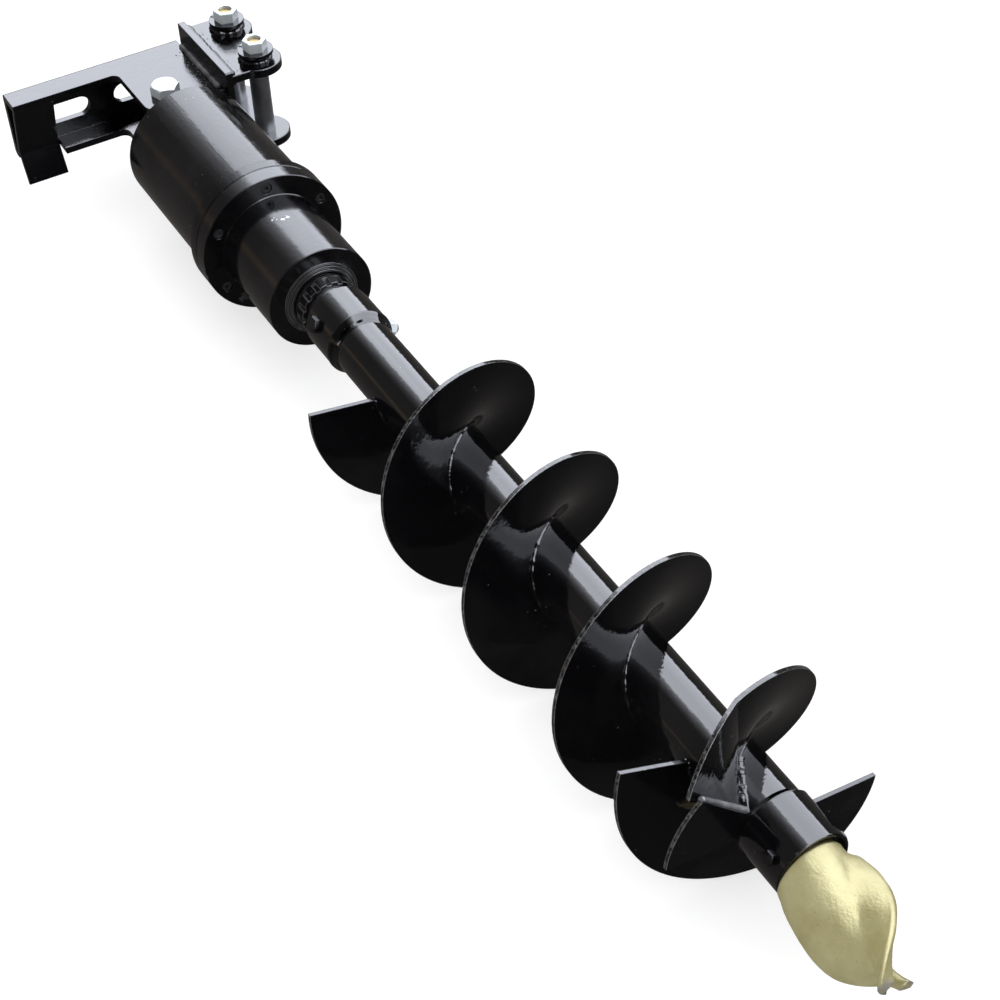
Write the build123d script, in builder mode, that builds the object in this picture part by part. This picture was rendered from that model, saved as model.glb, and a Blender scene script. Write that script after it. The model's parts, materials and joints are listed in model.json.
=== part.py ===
from build123d import *
from math import atan2, cos, hypot, pi, radians, sin, sqrt, tan
import os

# Hydraulic earth auger for a small excavator: a two-pin hitch, a swinging drive (gerotor motor
# and planetary gearbox in a steel hood) and a flighted auger with a cast pilot bit.
# Millimetres. The dimensions below are counted from the point where the swing pivot crosses the
# drive axis. +X runs along the drive axis to the pilot bit, +Z is the swing pivot's axis, and the
# hitch arm reaches to -Y. Every piece is saved with the origin moved to the rear hitch pin, where
# the excavator's arm holds the auger.

# ---------------------------------------------------------------- driving dimensions
FIT = 0.05                 # radial running clearance of a shaft in its bore
JOINT_GAP = 0.02           # paint-thin gap between pieces that are bolted or welded together

# hitch
PLATE = 10.0               # channel and head plate thickness
CHANNEL_HALF = 50.0        # half the height of the channel
WEB_BACK_X = -129.0
ARM_FRONT_X = -85.0
ARM_END_Y = -196.0
WIDE_FRONT_X = 33.0        # front edge of the wide part that carries the pivot bolt
WIDE_EDGE_Y = -39.0
WEB_SLOT_HEIGHT = 30.0
WEB_SLOT_LENGTH = 76.0
WEB_SLOT_Y = (-114.0, -1.0)
WEB_SLOT_Z = -3.0
STOP_EDGE_Y = -137.0       # inner edge of the cradle stop plate
STOP_THICK = 6.0
HEAD_Y = 70.0              # inner face of the head plate
HEAD_X = (-106.0, 60.0)
HEAD_Z = (-60.0, 87.0)
EAR_THICK = 12.0
EAR_TOP_Z = 80.0
EAR_GAP = 104.0            # clear width between the two ear plates
LOBE_RADIUS = 35.0
VALLEY_Y = 149.0           # edge of the ears between their two lobes
PIN_X = (-64.0, 33.0)
PIN_Y = 129.0
PIN_RADIUS = 14.0
PIN_HEAD_RADIUS = 20.0
PIN_HEAD_HEIGHT = 12.0
COLLAR_RADIUS = 18.0
COLLAR_HEIGHT = 10.0
STUD_RADIUS = 10.0         # M20 end of the hitch pins
STUD_NUT = (30.0, 15.0)    # across flats, height
SPLIT_WASHER = (25.0, 5.0)

# swing pivot, M24
PIVOT_RADIUS = 12.0
PIVOT_HEAD = (36.0, 15.0)  # across flats, height
PIVOT_NUT_HEIGHT = 20.0
HANGER_HALF = 39.4         # half the width of the hanger between the channel flanges
HANGER_TUBE_RADIUS = 32.0
BUSH_RADIUS = 16.0

# drive
HOOD_TOP_X = 64.0
HOOD_RADIUS = 89.5
HOOD_WALL = 6.0
HOOD_CAP = 8.0
HOOD_RING_X = 295.0
SPLIT_X = 313.0            # joint face between hood ring and gearbox flange
FLANGE_RADIUS = 99.5
FLANGE_FACE_X = 338.0
NOSE_RADIUS = 71.75
NOSE_END_X = 477.0
SCREW_PCD_RADIUS = 84.7
SCREW_COUNT = 6
SCREW_FIRST_ANGLE = 30.0
SCREW_RADIUS = 4.0         # M8
SCREW_HEAD = (6.5, 8.0)
COUNTERBORE = (7.5, 9.0)
NIPPLE_X = 378.0
NIPPLE_ANGLE = 208.0
SEAM = 1.2                 # chamfer that shows the joint between the two flange rings

# planetary stage: module, teeth and face width
MODULE = 2.25
SUN_TEETH = 15
PLANET_TEETH = 18
RING_TEETH = SUN_TEETH + 2 * PLANET_TEETH
PLANET_COUNT = 3
PRESSURE_ANGLE = radians(20)
BACKLASH = 0.12
GEAR_X = (228.0, 252.0)
CARRIER_RADIUS = MODULE * (SUN_TEETH + PLANET_TEETH) / 2
RING_CASE_RADIUS = 70.0
PLANET_PIN_RADIUS = 8.0

# gerotor motor
LOBES_INNER = 6
ECCENTRICITY = 3.0
LOBE_CENTRES = 30.0
LOBE_ROLLER = 8.0
ROTOR_PLAY = 0.04
ROTOR_X = (122.0, 142.0)
ROTOR_OUTER_RADIUS = 42.0
MOTOR_RADIUS = 62.0
MOTOR_SHAFT_RADIUS = 11.0
MOTOR_BOLT_PCD_RADIUS = 53.0
MOTOR_BOLT_RADIUS = 5.0
COVER_X = 96.0
MOTOR_FLANGE_X = 205.0
CASE_X = 217.0             # motor flange to ring gear joint
PORT_Y = 50.0              # the hose ports stand either side of the hanger
PORT_BORE_RADIUS = 6.5
PORT_BOSS_RADIUS = 13.0

# output shaft and bearings
SHAFT_RADIUS = 32.5
SEAT_RADIUS = 34.0
RACE_INNER = 42.0          # outside of the inner races
RACE_OUTER = 50.0          # inside of the outer races
RACE_CASE = 58.0
RACE_RIB = 3.0             # height and width of the ribs beside the rollers
BEARING_X = (318.0, 418.0)
BEARING_WIDTH = 24.0
ROLLERS = 20
ROLLER_INSET = 4.0         # from each face of the bearing to the rollers
CAGE_X = (6.0, 9.0)        # the cage ring, from the bearing's face
ROLLER_PLAY = 0.03
SEAL_X = 452.0
RETAINER_RADIUS = 51.0
RETAINER_RIBS = 3          # raised rings of the labyrinth on its face, each standing further out
RETAINER_RIB_STEP = 3.6
RETAINER_RIB_RISE = 2.2
LOCKNUT_X = (489.0, 507.0)
LOCKNUT_RADIUS = 41.0
LOCKNUT_BAND = 4.0         # unnotched width at its back
LOCKNUT_NOTCHES = 16
LOCKNUT_NOTCH = 6.0

# auger
COUPLER_RADIUS = 44.5
COUPLER_X = (521.0, 583.0)
COUPLER_BOLT_X = 545.0
COUPLER_BOLT_ANGLE = 154.0
COUPLER_SPARE_HOLE = (357.0, 5.0)  # angle and radius of the hole for a second bolt
BOLT_BOSS = (10.5, 61.0)   # radius, and distance of its end from the axis
M12_HEAD = (19.0, 7.0)     # across flats, height
M12_NUT_HEIGHT = 11.0
TUBE_RADIUS = 38.1
TUBE_WALL = 6.3
TUBE_START_X = 571.0
TUBE_END_X = 1496.0
FLIGHT_RADIUS = 125.0
FLIGHT_THICK = 5.0         # along the axis
FLIGHT_GAP = 0.15          # between the flights and the tube, filled by the weld
PITCH = 181.3
FLIGHT_START = (694.0, 170.1)
STEEP_FROM_TURNS = 3.79    # turns of constant pitch before the flight bends to its blade
STEEP_PITCH = 372.0
STEEP_ANGLE = 44.0
SECOND_START = (1345.0, 157.0)
SECOND_ANGLE = 158.0
BLADE_THICK = 4.5
BLADE_FACE_X = 1440.5
BLADE_SPAN = 40.0
BLADE_EDGE_ANGLE = (174.0, 354.0)
COLLAR_X = (1441.0, 1502.5)
TIP_COLLAR_RADIUS = 41.6
TIP_BOLTS = ((1484.0, 152.0), (1487.0, 352.0))  # x and angle of the set bolts that hold the bit
TIP_BOLT_FOOT = 21.0
M12_RADIUS = 6.0
M10_RADIUS = 5.0
M10_HEAD = (14.0, 6.0)
BIT_SHANK_RADIUS = 31.0
BIT_SHANK_X = 1452.0
BIT_SHOULDER_X = 1503.0
# The cast bit's two spiral wings, from the shoulder to the points: distance from the shoulder,
# radius at the bottom of the flutes, reach of the first and of the second wing, share of the way
# round over which a wing falls into its flute, how late the surface rises to the next wing, angles
# of the two wings, and how far the casting bows to one side.
BIT_STATIONS = (
    (0.0, 33.0, 33.5, 42.5, 0.22, 0.9, 14.0, 200.0, 0.0),
    (9.0, 31.5, 34.5, 45.0, 0.22, 0.9, 15.0, 202.0, 0.4),
    (17.0, 30.0, 40.0, 47.5, 0.22, 0.9, 16.0, 204.0, 0.8),
    (28.0, 28.0, 43.0, 50.0, 0.22, 0.9, 18.0, 207.0, 1.3),
    (44.0, 24.0, 45.0, 52.5, 0.25, 1.0, 24.0, 213.0, 2.0),
    (66.0, 19.0, 45.0, 53.5, 0.30, 1.1, 35.0, 223.0, 4.0),
    (86.0, 15.0, 43.0, 50.5, 0.35, 1.2, 50.0, 238.0, 7.0),
    (104.0, 10.5, 40.0, 42.0, 0.40, 1.6, 70.0, 262.0, 10.0),
    (119.0, 8.0, 36.0, 32.0, 0.42, 2.2, 95.0, 290.0, 12.5),
    (130.0, 6.5, 32.0, 26.0, 0.44, 2.8, 120.0, 313.0, 13.5),
    (139.0, 5.5, 28.0, 23.0, 0.45, 3.2, 148.0, 335.0, 14.0),
)
BIT_BOW_ANGLE = 206.0
BIT_LAND = 6.0             # width of the flat along each wing's edge
BIT_NOTCH = (24.0, 8.0)    # depth and half width of the notch between the two points

os.makedirs("parts", exist_ok=True)


# ---------------------------------------------------------------- helpers
def save(piece, name):
    """Move a finished piece to the hitch pin's frame, label it and write it as a STEP file."""
    placed = piece.part.moved(Location((-PIN_X[0], -PIN_Y, 0)))
    placed.label = name
    export_step(placed, f"parts/{name}.step")


def turned(*points, mode=Mode.ADD):
    """Turn a closed (x, radius) outline about the drive axis into the part being built."""
    with BuildSketch(Plane.XY) as profile:
        with BuildLine():
            Polyline(*points, close=True)
        make_face()
    revolve(profile.sketch, axis=Axis.X, mode=mode)


def ring(x_start, x_end, outer, inner, mode=Mode.ADD):
    """Add or cut a plain ring about the drive axis."""
    turned((x_start, inner), (x_end, inner), (x_end, outer), (x_start, outer), mode=mode)


def disc(plane, radius, length, mode=Mode.ADD):
    """Add or cut a round bar that starts on a plane and runs along its normal."""
    with BuildSketch(plane) as profile:
        Circle(radius)
    extrude(profile.sketch, amount=length, mode=mode)


def hexagon(plane, across_flats, height):
    """Add a hexagonal head or nut with its outer corners turned off."""
    corner = across_flats / sqrt(3) + 1
    flat_end = across_flats * 0.48
    with BuildSketch(plane) as profile:
        RegularPolygon(across_flats / 2, 6, major_radius=False)
    extrude(profile.sketch, amount=height)
    with BuildSketch(Plane(plane.origin, x_dir=plane.x_dir, z_dir=-plane.y_dir)) as turned_off:
        with BuildLine():
            slope = (corner - flat_end) * tan(radians(30))
            Polyline((flat_end, height), (corner, height - slope), (corner, height + 1),
                     (flat_end, height + 1), close=True)
        make_face()
    revolve(turned_off.sketch, axis=Axis(plane.origin, plane.z_dir), mode=Mode.SUBTRACT)


def radial_plane(x, angle, radius):
    """A plane that faces away from the drive axis at an angle counted from +Y towards +Z."""
    away = Vector(0, cos(radians(angle)), sin(radians(angle)))
    return Plane(Vector(x, 0, 0) + away * radius, x_dir=(1, 0, 0), z_dir=away)


def involute_flank(teeth, root, tip, half_angle, swell):
    """Points up one flank of a gear tooth, from the root circle to the tip circle."""
    base = MODULE * teeth / 2 * cos(PRESSURE_ANGLE)
    centre_angle = half_angle + tan(PRESSURE_ANGLE) - PRESSURE_ANGLE + swell
    points = []
    for step in range(9):
        radius = max(root, base) + (tip - max(root, base)) * step / 8
        roll = sqrt(max((radius / base) ** 2 - 1, 0))
        angle = centre_angle - (roll - atan2(roll, 1))
        points.append((radius * cos(angle), radius * sin(angle)))
    return points


def gear_face(teeth, root, tip, swell):
    """The outline of a gear with one tooth centred on the sketch's x axis."""
    flank = involute_flank(teeth, root, tip, pi / (2 * teeth), swell)
    mirrored = [(x, -y) for x, y in flank]
    foot = root * 0.97
    foot_angle = atan2(flank[0][1], flank[0][0])
    with BuildSketch(mode=Mode.PRIVATE) as tooth:
        with BuildLine():
            Spline(*flank)
            ThreePointArc(flank[-1], (tip, 0), mirrored[-1])
            Spline(*reversed(mirrored))
            Polyline(mirrored[0], (foot * cos(foot_angle), -foot * sin(foot_angle)),
                     (foot * cos(foot_angle), foot * sin(foot_angle)), flank[0])
        make_face()
    with BuildSketch(mode=Mode.PRIVATE) as gear:
        Circle(root)
        with PolarLocations(0, teeth):
            add(tooth.sketch)
    return gear.sketch


def rotor_outline():
    """The gerotor's inner rotor: a trochoid moved inwards by the roller radius."""
    outer_lobes = LOBES_INNER + 1
    points = []
    steps = 40 * LOBES_INNER
    for step in range(steps):
        t = 2 * pi * step / steps
        x = LOBE_CENTRES * cos(t) + ECCENTRICITY * cos(outer_lobes * t)
        y = LOBE_CENTRES * sin(t) + ECCENTRICITY * sin(outer_lobes * t)
        dx = -LOBE_CENTRES * sin(t) - ECCENTRICITY * outer_lobes * sin(outer_lobes * t)
        dy = LOBE_CENTRES * cos(t) + ECCENTRICITY * outer_lobes * cos(outer_lobes * t)
        inset = (LOBE_ROLLER + ROTOR_PLAY) / hypot(dx, dy)
        points.append((x - dy * inset, y + dx * inset))
    return points


def screw_plane(x, angle):
    """The local frame of a flight: x out along its starting edge, z along the drive axis."""
    out = (0, cos(radians(angle)), sin(radians(angle)))
    return Plane((x, 0, 0), x_dir=out, z_dir=(1, 0, 0))


def flight(x, angle, pitch, turn):
    """The flat bar of a flight, wound on from an angle and placed along the drive axis."""
    inner = TUBE_RADIUS + FLIGHT_GAP
    mid = (inner + FLIGHT_RADIUS) / 2
    with BuildPart() as wound:
        with BuildLine() as path:
            Helix(pitch=pitch, height=pitch * turn / 360, radius=mid)
        with BuildSketch(Plane.XZ) as bar:
            with Locations((mid, 0)):
                Rectangle(FLIGHT_RADIUS - inner, FLIGHT_THICK)
        sweep(bar.sketch, path=path.line, is_frenet=True)
    return wound.part.moved(screw_plane(x, angle).location)


# ---------------------------------------------------------------- hitch
with BuildPart() as hitch_channel:
    with BuildSketch(Plane.XY.offset(-CHANNEL_HALF)):
        with BuildLine():
            Polyline(
                (WEB_BACK_X, ARM_END_Y), (ARM_FRONT_X, ARM_END_Y), (ARM_FRONT_X, WIDE_EDGE_Y),
                (WIDE_FRONT_X, WIDE_EDGE_Y), (WIDE_FRONT_X, HEAD_Y - JOINT_GAP),
                (WEB_BACK_X, HEAD_Y - JOINT_GAP), close=True)
        make_face()
    extrude(amount=2 * CHANNEL_HALF)
    with BuildSketch(Plane.XY.offset(PLATE - CHANNEL_HALF)):
        with Locations((WEB_BACK_X + PLATE, ARM_END_Y - 1)):
            Rectangle(300, 400, align=(Align.MIN, Align.MIN))
    extrude(amount=2 * (CHANNEL_HALF - PLATE), mode=Mode.SUBTRACT)
    inner_corner = hitch_channel.edges().filter_by(Axis.Z).filter_by(
        lambda edge: abs(edge.center().X - ARM_FRONT_X) < 1 and abs(edge.center().Y - WIDE_EDGE_Y) < 1)
    fillet(inner_corner, radius=12)
    front_corner = hitch_channel.edges().filter_by(Axis.Z).filter_by(
        lambda edge: abs(edge.center().X - WIDE_FRONT_X) < 1 and abs(edge.center().Y - WIDE_EDGE_Y) < 1)
    fillet(front_corner, radius=18)
    back_edges = hitch_channel.edges().filter_by(Axis.Y).group_by(Axis.X)[0]
    fillet(back_edges, radius=8)
    with BuildSketch(Plane.YZ.offset(WEB_BACK_X)):
        for slot_y in WEB_SLOT_Y:
            with Locations((slot_y, WEB_SLOT_Z)):
                SlotOverall(WEB_SLOT_LENGTH, WEB_SLOT_HEIGHT)
    extrude(amount=PLATE, mode=Mode.SUBTRACT)
    with BuildSketch(Plane.XY.offset(-CHANNEL_HALF)):
        Circle(PIVOT_RADIUS + FIT)
    extrude(amount=2 * CHANNEL_HALF, mode=Mode.SUBTRACT)
    # the lower flange stops short where the cradle stop plate passes it
    with BuildSketch(Plane.XY.offset(-CHANNEL_HALF)):
        with Locations((ARM_FRONT_X + 1, ARM_END_Y)):
            Rectangle(30, STOP_EDGE_Y - ARM_END_Y + 3, align=(Align.MAX, Align.MIN))
    extrude(amount=PLATE, mode=Mode.SUBTRACT)
save(hitch_channel, "hitch_channel")

with BuildPart() as cradle_stop:
    with BuildSketch(Plane.XZ.offset(-STOP_EDGE_Y)):
        with BuildLine():
            front = Polyline((-86.5, CHANNEL_HALF - PLATE - 1.8), (-106.0, -33.0), (-88.0, -82.0))
            bend = fillet(front.vertices()[1], radius=20)
            offset(amount=STOP_THICK, side=Side.RIGHT, closed=True)
        make_face()
    extrude(amount=STOP_EDGE_Y - ARM_END_Y)
save(cradle_stop, "cradle_stop")

with BuildPart() as head_plate:
    with BuildSketch(Plane.XZ.offset(-HEAD_Y)):
        with Locations((sum(HEAD_X) / 2, sum(HEAD_Z) / 2)):
            RectangleRounded(HEAD_X[1] - HEAD_X[0], HEAD_Z[1] - HEAD_Z[0], 3)
    extrude(amount=-PLATE)
save(head_plate, "head_plate")


def ear_plate(top):
    """An ear plate with one round lobe about each hitch pin."""
    root_y = HEAD_Y + PLATE + JOINT_GAP
    with BuildSketch(Plane.XY.offset(top - EAR_THICK)) as plan:
        with Locations((PIN_X[0] - LOBE_RADIUS, root_y)):
            Rectangle(HEAD_X[1] - PIN_X[0] + LOBE_RADIUS, PIN_Y - root_y, align=(Align.MIN, Align.MIN))
        with Locations((PIN_X[0], root_y)):
            Rectangle(PIN_X[1] - PIN_X[0], VALLEY_Y - root_y, align=(Align.MIN, Align.MIN))
        with Locations(*[(x, PIN_Y) for x in PIN_X]):
            Circle(LOBE_RADIUS)
        valley = plan.vertices().filter_by(
            lambda corner: corner.Y > PIN_Y + 1 and PIN_X[0] < corner.X < PIN_X[1])
        fillet(valley, radius=10)
        with Locations(*[(x, PIN_Y) for x in PIN_X]):
            Circle(PIN_RADIUS + FIT, mode=Mode.SUBTRACT)
    extrude(plan.sketch, amount=EAR_THICK)


with BuildPart() as upper_ear_plate:
    ear_plate(EAR_TOP_Z)
    chamfer(upper_ear_plate.faces().sort_by(Axis.Z)[-1].outer_wire().edges(), length=1)
save(upper_ear_plate, "upper_ear_plate")

LOWER_EAR_TOP = EAR_TOP_Z - EAR_THICK - EAR_GAP
with BuildPart() as lower_ear_plate:
    ear_plate(LOWER_EAR_TOP)
    chamfer(lower_ear_plate.faces().sort_by(Axis.Z)[-1].outer_wire().edges(), length=1)
save(lower_ear_plate, "lower_ear_plate")

with BuildPart() as pin_collars:
    with BuildSketch(Plane.XY.offset(EAR_TOP_Z + JOINT_GAP)):
        with Locations(*[(x, PIN_Y) for x in PIN_X]):
            Circle(COLLAR_RADIUS)
            Circle(PIN_RADIUS + FIT, mode=Mode.SUBTRACT)
    extrude(amount=COLLAR_HEIGHT)
    chamfer(pin_collars.edges().group_by(Axis.Z)[-1].sort_by(SortBy.RADIUS)[-2:], length=1.5)
save(pin_collars, "pin_collars")

SHOULDER_Z = EAR_TOP_Z + JOINT_GAP + COLLAR_HEIGHT
WASHER_TOP = SHOULDER_Z + JOINT_GAP + SPLIT_WASHER[1]
STUD_TOP = WASHER_TOP + STUD_NUT[1] - 4


def hitch_pin(x):
    """A headed pin with a reduced stud on its upper end."""
    foot = LOWER_EAR_TOP - EAR_THICK - JOINT_GAP
    disc(Plane((x, PIN_Y, foot), x_dir=(1, 0, 0), z_dir=(0, 0, -1)), PIN_HEAD_RADIUS, PIN_HEAD_HEIGHT)
    disc(Plane((x, PIN_Y, foot)), PIN_RADIUS, SHOULDER_Z - foot)
    disc(Plane((x, PIN_Y, SHOULDER_Z)), STUD_RADIUS, STUD_TOP - SHOULDER_Z)


with BuildPart() as rear_hitch_pin:
    hitch_pin(PIN_X[0])
    chamfer(rear_hitch_pin.edges().group_by(Axis.Z)[0], length=1.5)
    chamfer(rear_hitch_pin.edges().group_by(Axis.Z)[-1], length=1.5)
save(rear_hitch_pin, "rear_hitch_pin")

with BuildPart() as front_hitch_pin:
    hitch_pin(PIN_X[1])
    chamfer(front_hitch_pin.edges().group_by(Axis.Z)[0], length=1.5)
    chamfer(front_hitch_pin.edges().group_by(Axis.Z)[-1], length=1.5)
save(front_hitch_pin, "front_hitch_pin")

with BuildPart() as pin_split_washers:
    with BuildSketch(Plane.XY.offset(SHOULDER_Z + JOINT_GAP)):
        with Locations(*[(x, PIN_Y) for x in PIN_X]):
            Circle(SPLIT_WASHER[0])
            Circle(STUD_RADIUS + 0.3, mode=Mode.SUBTRACT)
            with Locations((-SPLIT_WASHER[0] * 0.6, -SPLIT_WASHER[0] * 0.6)):
                Rectangle(30, 2.5, rotation=45, mode=Mode.SUBTRACT)
    extrude(amount=SPLIT_WASHER[1])
save(pin_split_washers, "pin_split_washers")

with BuildPart() as pin_lock_nuts:
    for pin_x in PIN_X:
        nut_base = Plane((pin_x, PIN_Y, WASHER_TOP + JOINT_GAP))
        with BuildSketch(nut_base):
            RegularPolygon(STUD_NUT[0] / 2, 6, major_radius=False, rotation=12)
            Circle(STUD_RADIUS + 0.02, mode=Mode.SUBTRACT)
    extrude(amount=STUD_NUT[1])
    chamfer(pin_lock_nuts.edges().group_by(Axis.Z)[-1].filter_by(GeomType.LINE), length=1)
save(pin_lock_nuts, "pin_lock_nuts")

# ---------------------------------------------------------------- swing pivot
WASHER_THICK = 4.0
with BuildPart() as pivot_bolt:
    hexagon(Plane((0, 0, CHANNEL_HALF + JOINT_GAP), x_dir=(1, 0.3, 0)), *PIVOT_HEAD)
    shank = CHANNEL_HALF + WASHER_THICK + PIVOT_NUT_HEIGHT + 4
    disc(Plane((0, 0, CHANNEL_HALF + JOINT_GAP), x_dir=(1, 0, 0), z_dir=(0, 0, -1)), PIVOT_RADIUS,
         CHANNEL_HALF + shank)
    chamfer(pivot_bolt.edges().group_by(Axis.Z)[0], length=2)
save(pivot_bolt, "pivot_bolt")

with BuildPart() as pivot_washer:
    with BuildSketch(Plane.XY.offset(-CHANNEL_HALF - JOINT_GAP - WASHER_THICK)):
        Circle(22)
        Circle(PIVOT_RADIUS + 0.5, mode=Mode.SUBTRACT)
    extrude(amount=WASHER_THICK)
save(pivot_washer, "pivot_washer")

with BuildPart() as pivot_lock_nut:
    nut_face = -CHANNEL_HALF - WASHER_THICK - 2 * JOINT_GAP
    hexagon(Plane((0, 0, nut_face), x_dir=(1, 0, 0), z_dir=(0, 0, -1)), PIVOT_HEAD[0], PIVOT_NUT_HEIGHT)
    disc(Plane((0, 0, nut_face - PIVOT_NUT_HEIGHT)), PIVOT_RADIUS + 0.02, PIVOT_NUT_HEIGHT, Mode.SUBTRACT)
save(pivot_lock_nut, "pivot_lock_nut")

# ---------------------------------------------------------------- drive housing
HANGER_WALL = 12.0
with BuildPart() as swing_hanger:
    with BuildSketch(Plane.XY.offset(-HANGER_HALF)):
        Circle(HANGER_TUBE_RADIUS)
        with Locations((0, 0)):
            Rectangle(HOOD_TOP_X - JOINT_GAP, 2 * HANGER_TUBE_RADIUS, align=(Align.MIN, Align.CENTER))
    extrude(amount=2 * HANGER_HALF)
    with BuildSketch(Plane.XY.offset(HANGER_WALL - HANGER_HALF)):
        with Locations((HANGER_TUBE_RADIUS + 4, 0)):
            Rectangle(60, 80, align=(Align.MIN, Align.CENTER))
    extrude(amount=2 * (HANGER_HALF - HANGER_WALL), mode=Mode.SUBTRACT)
    with BuildSketch(Plane.XY.offset(-HANGER_HALF)):
        Circle(BUSH_RADIUS)
    extrude(amount=2 * HANGER_HALF, mode=Mode.SUBTRACT)
save(swing_hanger, "swing_hanger")

with BuildPart() as pivot_bush:
    with BuildSketch(Plane.XY.offset(-HANGER_HALF)):
        Circle(BUSH_RADIUS - JOINT_GAP / 2)
        Circle(PIVOT_RADIUS + FIT, mode=Mode.SUBTRACT)
    extrude(amount=2 * HANGER_HALF)
save(pivot_bush, "pivot_bush")

SCREW_ANGLES = [SCREW_FIRST_ANGLE + 360 / SCREW_COUNT * i for i in range(SCREW_COUNT)]


def around_axis(x, angle, radius):
    """A plane facing +X at a place given by an angle and a radius about the drive axis."""
    return Plane((x, radius * cos(radians(angle)), radius * sin(radians(angle))),
                 x_dir=(0, 1, 0), z_dir=(1, 0, 0))


with BuildPart() as motor_hood:
    inside = HOOD_RADIUS - HOOD_WALL
    turned((HOOD_TOP_X, 0), (HOOD_TOP_X, HOOD_RADIUS - 2), (HOOD_TOP_X + 2, HOOD_RADIUS),
           (HOOD_RING_X, HOOD_RADIUS), (HOOD_RING_X, FLANGE_RADIUS - SEAM),
           (HOOD_RING_X + SEAM, FLANGE_RADIUS), (SPLIT_X - SEAM, FLANGE_RADIUS),
           (SPLIT_X, FLANGE_RADIUS - SEAM), (SPLIT_X, RING_CASE_RADIUS + 4),
           (HOOD_RING_X, RING_CASE_RADIUS + 4), (HOOD_RING_X, inside),
           (HOOD_TOP_X + HOOD_CAP, inside), (HOOD_TOP_X + HOOD_CAP, 0))
    for side in (1, -1):
        disc(Plane((HOOD_TOP_X, side * PORT_Y, 0), x_dir=(0, 1, 0), z_dir=(1, 0, 0)), 18, HOOD_CAP,
             Mode.SUBTRACT)
    for screw_angle in SCREW_ANGLES:
        disc(around_axis(HOOD_RING_X, screw_angle, SCREW_PCD_RADIUS), SCREW_RADIUS + 0.02,
             SPLIT_X - HOOD_RING_X, Mode.SUBTRACT)
save(motor_hood, "motor_hood")

with BuildPart() as nose_housing:
    turned((SPLIT_X + JOINT_GAP, RACE_CASE - 3), (SPLIT_X + JOINT_GAP, FLANGE_RADIUS - SEAM),
           (SPLIT_X + JOINT_GAP + SEAM, FLANGE_RADIUS), (FLANGE_FACE_X - 0.8, FLANGE_RADIUS),
           (FLANGE_FACE_X, FLANGE_RADIUS - 0.8), (FLANGE_FACE_X, NOSE_RADIUS + 1),
           (FLANGE_FACE_X + 1, NOSE_RADIUS),
           (NOSE_END_X - 1, NOSE_RADIUS), (NOSE_END_X, NOSE_RADIUS - 1),
           (NOSE_END_X, RETAINER_RADIUS + 0.5), (SEAL_X - 6, RETAINER_RADIUS + 0.5),
           (SEAL_X - 6, RACE_CASE - 10), (BEARING_X[1] + BEARING_WIDTH, RACE_CASE - 10),
           (BEARING_X[1] + BEARING_WIDTH, RACE_CASE), (BEARING_X[1], RACE_CASE),
           (BEARING_X[1], RACE_CASE - 4), (BEARING_X[0] + BEARING_WIDTH, RACE_CASE - 4),
           (BEARING_X[0] + BEARING_WIDTH, RACE_CASE), (BEARING_X[0], RACE_CASE),
           (BEARING_X[0], RACE_CASE - 3))
    for screw_angle in SCREW_ANGLES:
        disc(around_axis(SPLIT_X, screw_angle, SCREW_PCD_RADIUS), SCREW_RADIUS + 0.5,
             FLANGE_FACE_X - SPLIT_X, Mode.SUBTRACT)
        disc(around_axis(FLANGE_FACE_X - COUNTERBORE[1], screw_angle, SCREW_PCD_RADIUS), COUNTERBORE[0],
             COUNTERBORE[1], Mode.SUBTRACT)
    disc(radial_plane(NIPPLE_X, NIPPLE_ANGLE, RACE_CASE), 3.02, 20, Mode.SUBTRACT)
save(nose_housing, "nose_housing")

with BuildPart() as flange_screws:
    for screw_angle in SCREW_ANGLES:
        seat = FLANGE_FACE_X - COUNTERBORE[1] + JOINT_GAP
        disc(around_axis(seat, screw_angle, SCREW_PCD_RADIUS), SCREW_HEAD[0], SCREW_HEAD[1])
        disc(around_axis(HOOD_RING_X + 1, screw_angle, SCREW_PCD_RADIUS), SCREW_RADIUS,
             seat - HOOD_RING_X - 1)
        with BuildSketch(around_axis(seat + SCREW_HEAD[1], screw_angle, SCREW_PCD_RADIUS)) as socket:
            RegularPolygon(3, 6, major_radius=False)
        extrude(socket.sketch, amount=-4, mode=Mode.SUBTRACT)
save(flange_screws, "flange_screws")

with BuildPart() as grease_nipple:
    disc(radial_plane(NIPPLE_X, NIPPLE_ANGLE, RACE_CASE + 3), 3, NOSE_RADIUS - RACE_CASE)
    disc(radial_plane(NIPPLE_X, NIPPLE_ANGLE, NOSE_RADIUS + 0.05), 5, 4)
    disc(radial_plane(NIPPLE_X, NIPPLE_ANGLE, NOSE_RADIUS + 4.05), 2.5, 4)
    disc(radial_plane(NIPPLE_X, NIPPLE_ANGLE, NOSE_RADIUS + 8.05), 3.5, 2.5)
save(grease_nipple, "grease_nipple")

# ---------------------------------------------------------------- gerotor motor
MOTOR_BOLT_ANGLES = (45, 135, 225, 315)
COVER_END = ROTOR_X[0] - JOINT_GAP


def motor_bolt_holes(x_start, x_end, radius):
    """Cut the four through holes of the motor's clamp bolts."""
    for bolt_angle in MOTOR_BOLT_ANGLES:
        disc(around_axis(x_start, bolt_angle, MOTOR_BOLT_PCD_RADIUS), radius, x_end - x_start,
             Mode.SUBTRACT)


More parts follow.
